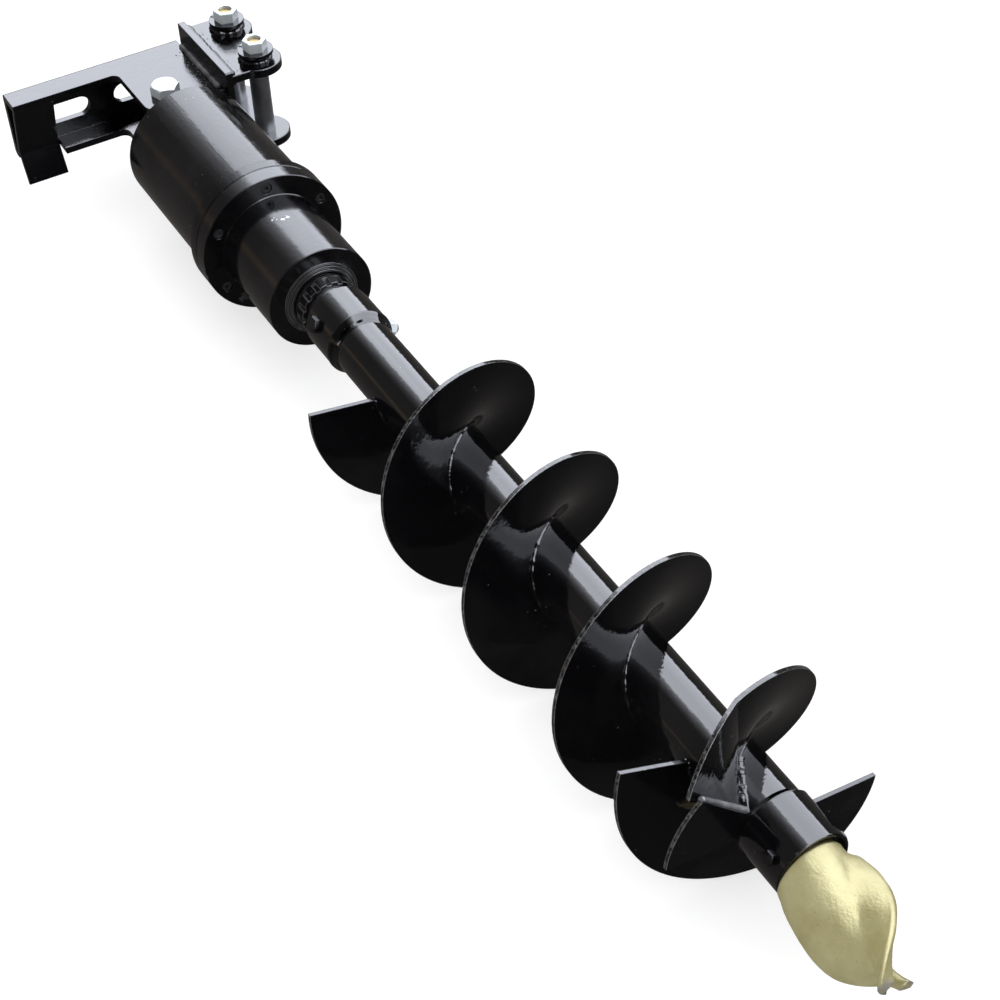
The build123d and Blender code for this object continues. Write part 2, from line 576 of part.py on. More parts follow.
with BuildPart() as motor_end_cover:
    turned((COVER_X + 6, 0), (COVER_X + 6, MOTOR_RADIUS - 2), (COVER_X + 8, MOTOR_RADIUS),
           (COVER_END, MOTOR_RADIUS), (COVER_END, 0))
    for side in (1, -1):
        port = Plane((COVER_X, side * PORT_Y, 0), x_dir=(0, 1, 0), z_dir=(1, 0, 0))
        disc(port, PORT_BOSS_RADIUS, 10)
        disc(port, PORT_BORE_RADIUS + 3.02, 18, Mode.SUBTRACT)
    disc(Plane((COVER_END - 12, 0, 0), x_dir=(0, 1, 0), z_dir=(1, 0, 0)), MOTOR_SHAFT_RADIUS + FIT, 12,
         Mode.SUBTRACT)
    motor_bolt_holes(COVER_X, COVER_END, MOTOR_BOLT_RADIUS + 0.3)
save(motor_end_cover, "motor_end_cover")

with BuildPart() as port_adapters:
    for side in (1, -1):
        start = HOOD_TOP_X - 6
        axis_plane = Plane((start, side * PORT_Y, 0), x_dir=(0, 1, 0), z_dir=(1, 0, 0))
        disc(axis_plane, PORT_BORE_RADIUS + 3, COVER_X + 16 - start)
        hexagon(Plane((COVER_X - JOINT_GAP, side * PORT_Y, 0), x_dir=(0, 1, 0), z_dir=(-1, 0, 0)), 24, 9)
        disc(axis_plane, PORT_BORE_RADIUS, COVER_X + 16 - start, Mode.SUBTRACT)
save(port_adapters, "port_adapters")

with BuildPart() as gerotor_case:
    ring(ROTOR_X[0], ROTOR_X[1], MOTOR_RADIUS, 0)
    pocket = Plane((ROTOR_X[0], ECCENTRICITY, 0), x_dir=(0, 1, 0), z_dir=(1, 0, 0))
    disc(pocket, ROTOR_OUTER_RADIUS + FIT, ROTOR_X[1] - ROTOR_X[0], Mode.SUBTRACT)
    motor_bolt_holes(ROTOR_X[0], ROTOR_X[1], MOTOR_BOLT_RADIUS + 0.3)
save(gerotor_case, "gerotor_case")

with BuildPart() as gerotor_outer_rotor:
    outer_plane = Plane((ROTOR_X[0] + FIT, ECCENTRICITY, 0), x_dir=(0, 1, 0), z_dir=(1, 0, 0))
    with BuildSketch(outer_plane):
        Circle(ROTOR_OUTER_RADIUS)
        Circle(LOBE_CENTRES, mode=Mode.SUBTRACT)
        with PolarLocations(LOBE_CENTRES, LOBES_INNER + 1):
            Circle(LOBE_ROLLER)
    extrude(amount=ROTOR_X[1] - ROTOR_X[0] - 2 * FIT)
save(gerotor_outer_rotor, "gerotor_outer_rotor")

with BuildPart() as gerotor_inner_rotor:
    with BuildSketch(Plane((ROTOR_X[0] + FIT, 0, 0), x_dir=(0, 1, 0), z_dir=(1, 0, 0))):
        with BuildLine():
            Spline(*rotor_outline(), periodic=True)
        make_face()
        Circle(MOTOR_SHAFT_RADIUS + JOINT_GAP / 2, mode=Mode.SUBTRACT)
    extrude(amount=ROTOR_X[1] - ROTOR_X[0] - 2 * FIT)
save(gerotor_inner_rotor, "gerotor_inner_rotor")

BUSH_WALL = 3.0
BODY_START = ROTOR_X[1] + JOINT_GAP
with BuildPart() as motor_body:
    turned((BODY_START, MOTOR_SHAFT_RADIUS + BUSH_WALL), (BODY_START, MOTOR_RADIUS),
           (BODY_START + 16, MOTOR_RADIUS), (BODY_START + 24, 40), (MOTOR_FLANGE_X - 6, 40),
           (MOTOR_FLANGE_X, 46), (MOTOR_FLANGE_X, RING_CASE_RADIUS),
           (CASE_X - JOINT_GAP, RING_CASE_RADIUS), (CASE_X - JOINT_GAP, 20),
           (CASE_X - 12, 20), (CASE_X - 12, MOTOR_SHAFT_RADIUS + BUSH_WALL))
    motor_bolt_holes(BODY_START, BODY_START + 16, MOTOR_BOLT_RADIUS + 0.02)
save(motor_body, "motor_body")

with BuildPart() as motor_bolts:
    for bolt_angle in MOTOR_BOLT_ANGLES:
        head_face = COVER_X + 6 - JOINT_GAP
        centre = around_axis(head_face, bolt_angle, MOTOR_BOLT_PCD_RADIUS)
        hexagon(Plane(centre.origin, x_dir=(0, 1, 0), z_dir=(-1, 0, 0)), 17, 6.4)
        disc(centre, MOTOR_BOLT_RADIUS, BODY_START + 14 - head_face)
save(motor_bolts, "motor_bolts")

with BuildPart() as motor_shaft_bush:
    ring(BODY_START + 0.5, CASE_X - 13, MOTOR_SHAFT_RADIUS + BUSH_WALL - JOINT_GAP / 2,
         MOTOR_SHAFT_RADIUS + FIT)
save(motor_shaft_bush, "motor_shaft_bush")

with BuildPart() as motor_shaft_seal:
    ring(CASE_X - 11.5, CASE_X - 3.5, 20 - JOINT_GAP / 2, MOTOR_SHAFT_RADIUS + FIT)
save(motor_shaft_seal, "motor_shaft_seal")

# ---------------------------------------------------------------- planetary stage
ADDENDUM = MODULE
DEDENDUM = 1.25 * MODULE
SUN_PITCH = MODULE * SUN_TEETH / 2
PLANET_PITCH = MODULE * PLANET_TEETH / 2
RING_PITCH = MODULE * RING_TEETH / 2
SUN_SWELL = -BACKLASH / (2 * SUN_PITCH)
PLANET_SWELL = -BACKLASH / (2 * PLANET_PITCH)
RING_SWELL = BACKLASH / (2 * RING_PITCH)
GEAR_WIDTH = GEAR_X[1] - GEAR_X[0]

with BuildPart() as ring_gear:
    with BuildSketch(around_axis(GEAR_X[0], 0, 0)):
        Circle(RING_CASE_RADIUS)
        # the gaps of an internal gear have the shape of an external gear's teeth
        add(gear_face(RING_TEETH, RING_PITCH - ADDENDUM, RING_PITCH + DEDENDUM, RING_SWELL),
            rotation=180 / RING_TEETH, mode=Mode.SUBTRACT)
    extrude(amount=GEAR_WIDTH)
    ring(CASE_X, GEAR_X[0], RING_CASE_RADIUS, RING_PITCH + DEDENDUM + 1)
    ring(GEAR_X[1], SPLIT_X - 1, RING_CASE_RADIUS, RING_PITCH + DEDENDUM + 1)
save(ring_gear, "ring_gear")

with BuildPart() as sun_gear_shaft:
    ring(COVER_END - 10, GEAR_X[0], MOTOR_SHAFT_RADIUS, 0)
    with BuildSketch(around_axis(GEAR_X[0], 0, 0)):
        add(gear_face(SUN_TEETH, SUN_PITCH - DEDENDUM, SUN_PITCH + ADDENDUM, SUN_SWELL))
    extrude(amount=GEAR_WIDTH)
save(sun_gear_shaft, "sun_gear_shaft")

for number in range(PLANET_COUNT):
    carrier_angle = 360 / PLANET_COUNT * number
    with BuildPart() as planet_gear:
        with BuildSketch(around_axis(GEAR_X[0] + 0.5, carrier_angle, CARRIER_RADIUS)):
            # a gap faces the sun and the ring along the line of centres
            add(gear_face(PLANET_TEETH, PLANET_PITCH - DEDENDUM, PLANET_PITCH + ADDENDUM, PLANET_SWELL),
                rotation=carrier_angle + 180 / PLANET_TEETH)
            Circle(PLANET_PIN_RADIUS + FIT, mode=Mode.SUBTRACT)
        extrude(amount=GEAR_WIDTH - 1)
    save(planet_gear, f"planet_gear_{number + 1}")

CARRIER_X = (GEAR_X[1] + 2, GEAR_X[1] + 20)
with BuildPart() as planet_carrier:
    ring(CARRIER_X[0], CARRIER_X[1], 52, 0)
    ring(CARRIER_X[1], CARRIER_X[1] + 14, 42, 0)
    ring(CARRIER_X[0] + 8, CARRIER_X[1] + 14, SHAFT_RADIUS - 4, 0, Mode.SUBTRACT)
    for number in range(PLANET_COUNT):
        disc(around_axis(CARRIER_X[0], 360 / PLANET_COUNT * number, CARRIER_RADIUS),
             PLANET_PIN_RADIUS, 18, Mode.SUBTRACT)
save(planet_carrier, "planet_carrier")

with BuildPart() as planet_pins:
    for number in range(PLANET_COUNT):
        disc(around_axis(GEAR_X[0] - 3, 360 / PLANET_COUNT * number, CARRIER_RADIUS),
             PLANET_PIN_RADIUS - JOINT_GAP / 2, CARRIER_X[1] - GEAR_X[0] + 2)
save(planet_pins, "planet_pins")

# ---------------------------------------------------------------- output shaft and bearings
with BuildPart() as output_shaft:
    spigot = SHAFT_RADIUS - 4 - JOINT_GAP
    turned((CARRIER_X[0] + 9, 0), (CARRIER_X[0] + 9, spigot), (CARRIER_X[1] + 15, spigot),
           (CARRIER_X[1] + 15, SEAT_RADIUS + 6), (BEARING_X[0] - JOINT_GAP, SEAT_RADIUS + 6),
           (BEARING_X[0] - JOINT_GAP, SEAT_RADIUS), (LOCKNUT_X[1] + 3, SEAT_RADIUS),
           (LOCKNUT_X[1] + 3, SHAFT_RADIUS), (TUBE_START_X - 6, SHAFT_RADIUS),
           (TUBE_START_X - 3, SHAFT_RADIUS - 3), (TUBE_START_X - 3, 0))
    disc(radial_plane(COUPLER_BOLT_X, COUPLER_BOLT_ANGLE, -60), M12_RADIUS + 0.2, 120, Mode.SUBTRACT)
save(output_shaft, "output_shaft")

with BuildPart() as bearing_inner_races:
    for bearing_x in BEARING_X:
        far_x = bearing_x + BEARING_WIDTH
        rib_radius = RACE_INNER + RACE_RIB
        turned((bearing_x, SEAT_RADIUS + JOINT_GAP), (bearing_x, rib_radius),
               (bearing_x + RACE_RIB, rib_radius), (bearing_x + RACE_RIB, RACE_INNER),
               (far_x - RACE_RIB, RACE_INNER), (far_x - RACE_RIB, rib_radius),
               (far_x, rib_radius), (far_x, SEAT_RADIUS + JOINT_GAP))
save(bearing_inner_races, "bearing_inner_races")

with BuildPart() as bearing_outer_races:
    for bearing_x in BEARING_X:
        ring(bearing_x + JOINT_GAP, bearing_x + BEARING_WIDTH - JOINT_GAP,
             RACE_CASE - JOINT_GAP, RACE_OUTER)
save(bearing_outer_races, "bearing_outer_races")

with BuildPart() as bearing_rollers:
    roller_radius = (RACE_OUTER - RACE_INNER) / 2 - ROLLER_PLAY
    pitch_radius = (RACE_OUTER + RACE_INNER) / 2
    for bearing_x in BEARING_X:
        with BuildSketch(around_axis(bearing_x + ROLLER_INSET, 0, 0)) as row:
            with PolarLocations(pitch_radius, ROLLERS):
                Circle(roller_radius)
        extrude(row.sketch, amount=BEARING_WIDTH - 2 * ROLLER_INSET)
        ring(bearing_x + CAGE_X[0], bearing_x + CAGE_X[1], pitch_radius + 2, pitch_radius - 2)
save(bearing_rollers, "bearing_rollers")

with BuildPart() as output_seal:
    ring(SEAL_X, SEAL_X + 12, RETAINER_RADIUS + 0.4, SEAT_RADIUS + FIT)
save(output_seal, "output_seal")

with BuildPart() as seal_retainer:
    inner_step = SEAT_RADIUS + 0.5
    rib_end = NOSE_END_X - 1
    outline = [(SEAL_X + 13, inner_step), (SEAL_X + 13, RETAINER_RADIUS)]
    for rib in range(RETAINER_RIBS):
        rib_radius = RETAINER_RADIUS - RETAINER_RIB_STEP * rib
        outline += [(rib_end + 1.6, rib_radius), (rib_end + 1.6, rib_radius - 1.8),
                    (rib_end + 0.4, rib_radius - 2.2), (rib_end + 0.4, rib_radius - RETAINER_RIB_STEP)]
        rib_end += RETAINER_RIB_RISE
    turned(*outline, (NOSE_END_X - 1, RETAINER_RADIUS - RETAINER_RIB_STEP * RETAINER_RIBS),
           (NOSE_END_X - 1, inner_step))
save(seal_retainer, "seal_retainer")

with BuildPart() as shaft_spacer:
    ring(NOSE_END_X + 2, LOCKNUT_X[0] - 1, LOCKNUT_RADIUS - 2, SEAT_RADIUS + JOINT_GAP)
save(shaft_spacer, "shaft_spacer")

with BuildPart() as shaft_lock_nut:
    ring(LOCKNUT_X[0], LOCKNUT_X[1], LOCKNUT_RADIUS, SEAT_RADIUS + JOINT_GAP)
    notch_start = LOCKNUT_X[0] + LOCKNUT_BAND
    with BuildSketch(around_axis(notch_start, 0, 0)) as notches:
        with PolarLocations(LOCKNUT_RADIUS, LOCKNUT_NOTCHES):
            Rectangle(LOCKNUT_NOTCH, LOCKNUT_NOTCH)
    extrude(notches.sketch, amount=LOCKNUT_X[1] - notch_start, mode=Mode.SUBTRACT)
save(shaft_lock_nut, "shaft_lock_nut")

# ---------------------------------------------------------------- auger coupling
with BuildPart() as coupler_sleeve:
    step_x = TUBE_START_X - JOINT_GAP
    turned((COUPLER_X[0], SHAFT_RADIUS + FIT), (COUPLER_X[0], COUPLER_RADIUS - 2.5),
           (COUPLER_X[0] + 2.5, COUPLER_RADIUS), (COUPLER_X[1] - 1, COUPLER_RADIUS),
           (COUPLER_X[1], COUPLER_RADIUS - 1), (COUPLER_X[1], TUBE_RADIUS + JOINT_GAP),
           (step_x, TUBE_RADIUS + JOINT_GAP), (step_x, SHAFT_RADIUS + FIT))
    disc(radial_plane(COUPLER_BOLT_X, COUPLER_BOLT_ANGLE + 180, COUPLER_RADIUS - 6), BOLT_BOSS[0],
         BOLT_BOSS[1] - COUPLER_RADIUS + 6)
    disc(radial_plane(COUPLER_BOLT_X, COUPLER_BOLT_ANGLE, -70), M12_RADIUS + 0.2, 140, Mode.SUBTRACT)
    disc(radial_plane(COUPLER_BOLT_X, COUPLER_SPARE_HOLE[0], SHAFT_RADIUS), COUPLER_SPARE_HOLE[1], 20,
         Mode.SUBTRACT)
save(coupler_sleeve, "coupler_sleeve")

with BuildPart() as coupler_bolt:
    head_seat = COUPLER_RADIUS + 0.4
    hexagon(radial_plane(COUPLER_BOLT_X, COUPLER_BOLT_ANGLE, head_seat), *M12_HEAD)
    end = BOLT_BOSS[1] + M12_NUT_HEIGHT + 4
    disc(radial_plane(COUPLER_BOLT_X, COUPLER_BOLT_ANGLE, -end), M12_RADIUS, end + head_seat)
save(coupler_bolt, "coupler_bolt")

with BuildPart() as coupler_nut:
    hexagon(radial_plane(COUPLER_BOLT_X, COUPLER_BOLT_ANGLE + 180, BOLT_BOSS[1] + JOINT_GAP), M12_HEAD[0],
            M12_NUT_HEIGHT)
    disc(radial_plane(COUPLER_BOLT_X, COUPLER_BOLT_ANGLE + 180, BOLT_BOSS[1]), M12_RADIUS + 0.02, 20,
         Mode.SUBTRACT)
save(coupler_nut, "coupler_nut")

# ---------------------------------------------------------------- auger
def tip_bolt_holes():
    """Cut the holes of the set bolts that hold the pilot bit."""
    for bolt_x, bolt_angle in TIP_BOLTS:
        disc(radial_plane(bolt_x, bolt_angle, TIP_BOLT_FOOT - 1), M10_RADIUS + 0.2, 40, Mode.SUBTRACT)


with BuildPart() as auger_tube:
    ring(TUBE_START_X, TUBE_END_X, TUBE_RADIUS, TUBE_RADIUS - TUBE_WALL)
    tip_bolt_holes()
save(auger_tube, "auger_tube")

STEADY_TURN = 360 * STEEP_FROM_TURNS
STEEP_START = (FLIGHT_START[0] + PITCH * STEEP_FROM_TURNS, FLIGHT_START[1] + STEADY_TURN)
steady_flight = flight(FLIGHT_START[0], FLIGHT_START[1], PITCH, STEADY_TURN)
steep_flight = flight(STEEP_START[0], STEEP_START[1], STEEP_PITCH, STEEP_ANGLE)
with BuildPart() as main_flight:
    add(steady_flight)
    add(steep_flight)
save(main_flight, "main_flight")

short_flight = flight(SECOND_START[0], SECOND_START[1], PITCH, SECOND_ANGLE)
with BuildPart() as second_flight:
    add(short_flight)
save(second_flight, "second_flight")

with BuildPart() as cutting_blades:
    for edge_angle in BLADE_EDGE_ANGLE:
        blade_frame = screw_plane(BLADE_FACE_X - BLADE_THICK, edge_angle)
        inner = TUBE_RADIUS + JOINT_GAP
        start = radians(-BLADE_SPAN)
        with BuildSketch(blade_frame) as plan:
            with BuildLine():
                Line((inner, 0), (FLIGHT_RADIUS, 0))
                RadiusArc((FLIGHT_RADIUS, 0), (FLIGHT_RADIUS * cos(start), FLIGHT_RADIUS * sin(start)),
                          FLIGHT_RADIUS)
                Line((FLIGHT_RADIUS * cos(start), FLIGHT_RADIUS * sin(start)),
                     (inner * cos(start), inner * sin(start)))
                RadiusArc((inner * cos(start), inner * sin(start)), (inner, 0), -inner)
            make_face()
        extrude(plan.sketch, amount=BLADE_THICK)
save(cutting_blades, "cutting_blades")

with BuildPart() as tip_collar:
    turned((COLLAR_X[0], TUBE_RADIUS + JOINT_GAP), (COLLAR_X[0], TIP_COLLAR_RADIUS - 1),
           (COLLAR_X[0] + 1, TIP_COLLAR_RADIUS), (COLLAR_X[1] - 1, TIP_COLLAR_RADIUS),
           (COLLAR_X[1], TIP_COLLAR_RADIUS - 1), (COLLAR_X[1], TUBE_RADIUS + JOINT_GAP))
    tip_bolt_holes()
save(tip_collar, "tip_collar")

with BuildPart() as tip_bolts:
    for bolt_x, bolt_angle in TIP_BOLTS:
        hexagon(radial_plane(bolt_x, bolt_angle, TIP_COLLAR_RADIUS + 0.4), *M10_HEAD)
        disc(radial_plane(bolt_x, bolt_angle, TIP_BOLT_FOOT), M10_RADIUS,
             TIP_COLLAR_RADIUS + 0.4 - TIP_BOLT_FOOT)
save(tip_bolts, "tip_bolts")


# ---------------------------------------------------------------- pilot bit
def wing_flank(flute, reach, next_reach, fall, lateness, start_angle, next_angle):
    """Points of half a section: from one wing's edge down into the flute and up to the next."""
    steps = 16
    span = radians(next_angle - start_angle)
    land = BIT_LAND / next_reach / span
    points = []
    for step in range(steps + 1):
        u = (1 - land) * step / steps
        if u < fall:
            radius = flute + (reach - flute) * (1 - u / fall) ** 2
        else:
            radius = flute + (next_reach - flute) * ((u - fall) / (1 - fall - land)) ** (1 + lateness)
        angle = radians(start_angle) + span * u
        points.append((radius * cos(angle), radius * sin(angle)))
    return points


def bit_section(distance, flute, first_reach, second_reach, fall, lateness, first_angle, second_angle, bow):
    """One closed section of the bit, with a short flat along the edge of each wing."""
    bow_angle = radians(BIT_BOW_ANGLE)
    centre = (BIT_SHOULDER_X + distance, bow * cos(bow_angle), bow * sin(bow_angle))
    first = wing_flank(flute, first_reach, second_reach, fall, lateness, first_angle, second_angle)
    second = wing_flank(flute, second_reach, first_reach, fall, lateness, second_angle, first_angle + 360)
    with BuildSketch(Plane(centre, x_dir=(0, 1, 0), z_dir=(1, 0, 0))) as section:
        with BuildLine():
            Spline(*first)
            Line(first[-1], second[0])
            Spline(*second)
            Line(second[-1], first[0])
        make_face()
    return section.sketch


bit_sections = [bit_section(*station) for station in BIT_STATIONS]
bit_tip = BIT_STATIONS[-1]
with BuildPart() as pilot_bit:
    for section in bit_sections:
        add(section)
    loft(ruled=True)
    ring(BIT_SHANK_X, BIT_SHOULDER_X + 1, BIT_SHANK_RADIUS, 0)
    bow_angle = radians(BIT_BOW_ANGLE)
    notch_angle = radians(bit_tip[6])
    notch_origin = (BIT_SHOULDER_X + bit_tip[0], bit_tip[-1] * cos(bow_angle), bit_tip[-1] * sin(bow_angle))
    notch_plane = Plane(notch_origin, x_dir=(1, 0, 0), z_dir=(0, -sin(notch_angle), cos(notch_angle)))
    with BuildSketch(notch_plane):
        with BuildLine():
            Polyline((-BIT_NOTCH[0], 0), (1, BIT_NOTCH[1]), (1, -BIT_NOTCH[1]), close=True)
        make_face()
    extrude(amount=40, both=True, mode=Mode.SUBTRACT)
    tip_bolt_holes()
save(pilot_bit, "pilot_bit")
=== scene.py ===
"""Looks of the hydraulic earth auger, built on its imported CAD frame."""
import json
import math
import random

import bpy
from mathutils import Matrix, Vector, noise


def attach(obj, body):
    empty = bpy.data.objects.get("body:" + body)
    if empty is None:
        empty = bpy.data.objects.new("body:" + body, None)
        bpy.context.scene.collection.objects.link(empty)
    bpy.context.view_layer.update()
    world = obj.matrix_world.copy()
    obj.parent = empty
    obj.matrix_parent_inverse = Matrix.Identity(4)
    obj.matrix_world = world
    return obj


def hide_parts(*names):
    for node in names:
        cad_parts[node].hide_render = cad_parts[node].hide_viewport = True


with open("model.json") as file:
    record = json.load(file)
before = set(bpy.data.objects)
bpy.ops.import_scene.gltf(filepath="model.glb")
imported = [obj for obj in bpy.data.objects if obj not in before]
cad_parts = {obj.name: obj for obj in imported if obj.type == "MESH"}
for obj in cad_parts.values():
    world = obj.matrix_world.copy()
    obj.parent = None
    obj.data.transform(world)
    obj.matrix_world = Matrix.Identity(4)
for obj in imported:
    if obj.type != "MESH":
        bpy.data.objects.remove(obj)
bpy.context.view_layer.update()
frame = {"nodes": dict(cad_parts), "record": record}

# ------------------------------------------------------------------ dimensions, metres
AXIS_Y = -0.129            # the drive axis runs along +X at this y
PIVOT = Vector((0.064, AXIS_Y, 0.0))
FLOOR_Z = -0.127


def at(x, y=0.0, z=0.0):
    """A point given in millimetres from the swing pivot."""
    return PIVOT + Vector((x, y, z)) / 1000


def around(x, radius, angle):
    """A point at an angle about the drive axis, in millimetres and degrees."""
    return at(x, radius * math.cos(math.radians(angle)), radius * math.sin(math.radians(angle)))


# ------------------------------------------------------------------ node helpers
class Nodes:
    """Builds a material's node tree with short calls."""

    def __init__(self, tree):
        self.tree = tree
        tree.nodes.clear()

    def add(self, kind, **values):
        """A node with its properties and inputs set, i0 and i1 being its first two inputs.

        An input's value may be a socket to link from.
        """
        node = self.tree.nodes.new(kind)
        for name, value in values.items():
            if hasattr(node, name) and name not in node.inputs:
                setattr(node, name, value)
                continue
            numbered = name[0] == "i" and name[1:].isdigit()
            socket = node.inputs[int(name[1:]) if numbered else name]
            if isinstance(value, bpy.types.NodeSocket):
                self.tree.links.new(value, socket)
            else:
                socket.default_value = value
        return node

    def math(self, operation, a, b=0.0, clamp=False):
        return self.add("ShaderNodeMath", operation=operation, use_clamp=clamp, i0=a, i1=b).outputs[0]

    def ramp(self, value, low, high):
        """0 below low, 1 above high, straight between."""
        return self.add("ShaderNodeMapRange", i0=value, i1=low, i2=high).outputs[0]

    def mix(self, factor, a, b):
        node = self.add("ShaderNodeMix", data_type="RGBA")
        for socket, value in ((0, factor), (6, a), (7, b)):
            if isinstance(value, bpy.types.NodeSocket):
                self.tree.links.new(value, node.inputs[socket])
            else:
                node.inputs[socket].default_value = value
        return node.outputs[2]

    def noise(self, coords, scale, detail=2.0, rough=0.5):
        return self.add("ShaderNodeTexNoise", Vector=coords, Scale=scale, Detail=detail,
                        Roughness=rough).outputs["Fac"]


def rgb(r, g, b):
    return (r, g, b, 1.0)


def new_material(name):
    material = bpy.data.materials.new(name)
    material.use_nodes = True
    return material, Nodes(material.node_tree)


BEVEL_SAMPLES = 4


def edge_mask(nodes, radius, low, high):
    """1 on convex and concave edges, found where the rounded normal leaves the true one."""
    rounded = nodes.add("ShaderNodeBevel", samples=BEVEL_SAMPLES, Radius=radius).outputs[0]
    true = nodes.add("ShaderNodeNewGeometry").outputs["Normal"]
    dot = nodes.add("ShaderNodeVectorMath", operation="DOT_PRODUCT", i0=rounded, i1=true).outputs["Value"]
    return nodes.ramp(nodes.math("SUBTRACT", 1.0, dot), low, high)


def axis_radius(n, where):
    """Distance of a shading point from the drive axis."""
    across = n.add("ShaderNodeVectorMath", operation="MULTIPLY", i0=where, i1=(0.0, 1.0, 1.0))
    centred = n.add("ShaderNodeVectorMath", operation="SUBTRACT", i0=across.outputs[0],
                    i1=(0.0, AXIS_Y, 0.0))
    return n.add("ShaderNodeVectorMath", operation="LENGTH", i0=centred.outputs[0]).outputs["Value"]


def chip_and_highlight_mask(n, where, rim_radius, knocks, pale_edge_highlight):
    """1 where the black paint is chipped, scuffed or dusty white, and where a highlight is painted pale on
    the sharp edges; 0 where the paint is whole and no highlight is painted.
    """
    edges = edge_mask(n, 0.0013, 0.02, 0.2)
    breakup = n.ramp(n.noise(where, 90.0, 6.0, 0.7), 0.6, 0.68)
    chips_and_highlight = n.math("MULTIPLY", edges, breakup)
    flecks = n.ramp(n.noise(where, 420.0, 2.0, 0.4), 0.775, 0.79)
    patches = n.ramp(n.noise(where, 9.0, 3.0), 0.52, 0.62)
    chips_and_highlight = n.math("MAXIMUM", chips_and_highlight, n.math("MULTIPLY", flecks, patches))
    # painted highlight: the sharp edges are made pale like chipped paint
    chips_and_highlight = n.math("MAXIMUM", chips_and_highlight, n.math("MULTIPLY", edges, pale_edge_highlight))
    if rim_radius:
        rim = n.ramp(axis_radius(n, where), rim_radius, rim_radius + 0.0002)
        scuffed = n.ramp(n.noise(where, 210.0, 6.0, 0.8), 0.48, 0.7)
        worn = n.math("MULTIPLY", rim, n.math("ADD", n.math("MULTIPLY", scuffed, 0.3),
                                              n.math("MULTIPLY", edges, 0.4)))
        chips_and_highlight = n.math("MAXIMUM", chips_and_highlight, worn)
    for knock in knocks:
        away = n.add("ShaderNodeVectorMath", operation="DISTANCE", i0=where, i1=tuple(knock))
        near = n.ramp(away.outputs["Value"], 0.009, 0.006)
        shards = n.ramp(n.noise(where, 170.0, 2.0, 0.5), 0.58, 0.6)
        chips_and_highlight = n.math("MAXIMUM", chips_and_highlight, n.math("MULTIPLY", near, shards))
    return chips_and_highlight


def sprayed_relief(n, where, peel, sparkle, drawn):
    """The normal of a sprayed skin: softened edges, rolling marks, runs, orange peel and sparkle."""
    rounded = n.add("ShaderNodeBevel", samples=BEVEL_SAMPLES, Radius=0.0012).outputs[0]
    if drawn:
        stretched = n.add("ShaderNodeVectorMath", operation="MULTIPLY", i0=where, i1=(0.05, 1.0, 1.0))
        marks = n.noise(stretched.outputs[0], 60.0, 3.0, 0.6)
        rounded = n.add("ShaderNodeBump", Strength=drawn, Distance=0.001, Height=marks,
                        Normal=rounded).outputs[0]
    runs = n.add("ShaderNodeBump", Strength=0.3, Distance=0.001, Height=n.noise(where, 22.0, 2.0),
                 Normal=rounded)
    skin = n.add("ShaderNodeBump", Strength=peel, Distance=0.0004, Height=n.noise(where, 190.0, 2.0),
                 Normal=runs.outputs[0])
    if sparkle:
        skin = n.add("ShaderNodeBump", Strength=sparkle, Distance=0.0006,
                     Height=n.noise(where, 520.0, 3.0, 0.7), Normal=skin.outputs[0])
    return skin.outputs[0]


def gloss_paint(name, rough=0.1, peel=0.3, sparkle=0.0, drawn=0.0, rim_radius=None, knocks=(),
                pale_edge_highlight=0.0, gloss=0.5):
    """Sprayed black gloss enamel: orange peel, soft runs, chipped edges and dust, and where asked a
    painted highlight that makes the sharp edges pale.

    drawn is the depth of rolling marks along the drive axis, rim_radius the radius beyond which the
    edge of a flight is scuffed, knocks the centres of small patches of paint chipped bare white,
    pale_edge_highlight how pale the painted highlight makes the sharp edges and gloss the strength of
    the mirror image.
    """
    material, n = new_material(name)
    where = n.add("ShaderNodeTexCoord").outputs["Object"]
    chips_and_highlight = chip_and_highlight_mask(n, where, rim_radius, knocks, pale_edge_highlight)
    dust = n.ramp(n.noise(where, 5.0, 5.0, 0.65), 0.5, 0.75)
    paint = n.mix(dust, rgb(0.0022, 0.0022, 0.0028), rgb(0.009, 0.0085, 0.009))
    # chipped paint shows pale grey, and so does the highlight painted on the sharp edges
    colour = n.mix(chips_and_highlight, paint, rgb(0.52, 0.52, 0.53))
    cloud = n.noise(where, 14.0, 4.0, 0.6)
    dull = n.math("ADD", n.math("MULTIPLY", cloud, rough), rough * 0.6)
    dull = n.math("MAXIMUM", dull, n.math("MULTIPLY", chips_and_highlight, 0.45))
    shader = n.add("ShaderNodeBsdfPrincipled", Normal=sprayed_relief(n, where, peel, sparkle, drawn),
                   Roughness=dull, IOR=1.7, Metallic=n.math("MULTIPLY", chips_and_highlight, 0.6))
    shader.inputs["Specular IOR Level"].default_value = gloss
    n.tree.links.new(colour, shader.inputs["Base Color"])
    n.add("ShaderNodeOutputMaterial", Surface=shader.outputs[0])
    return material


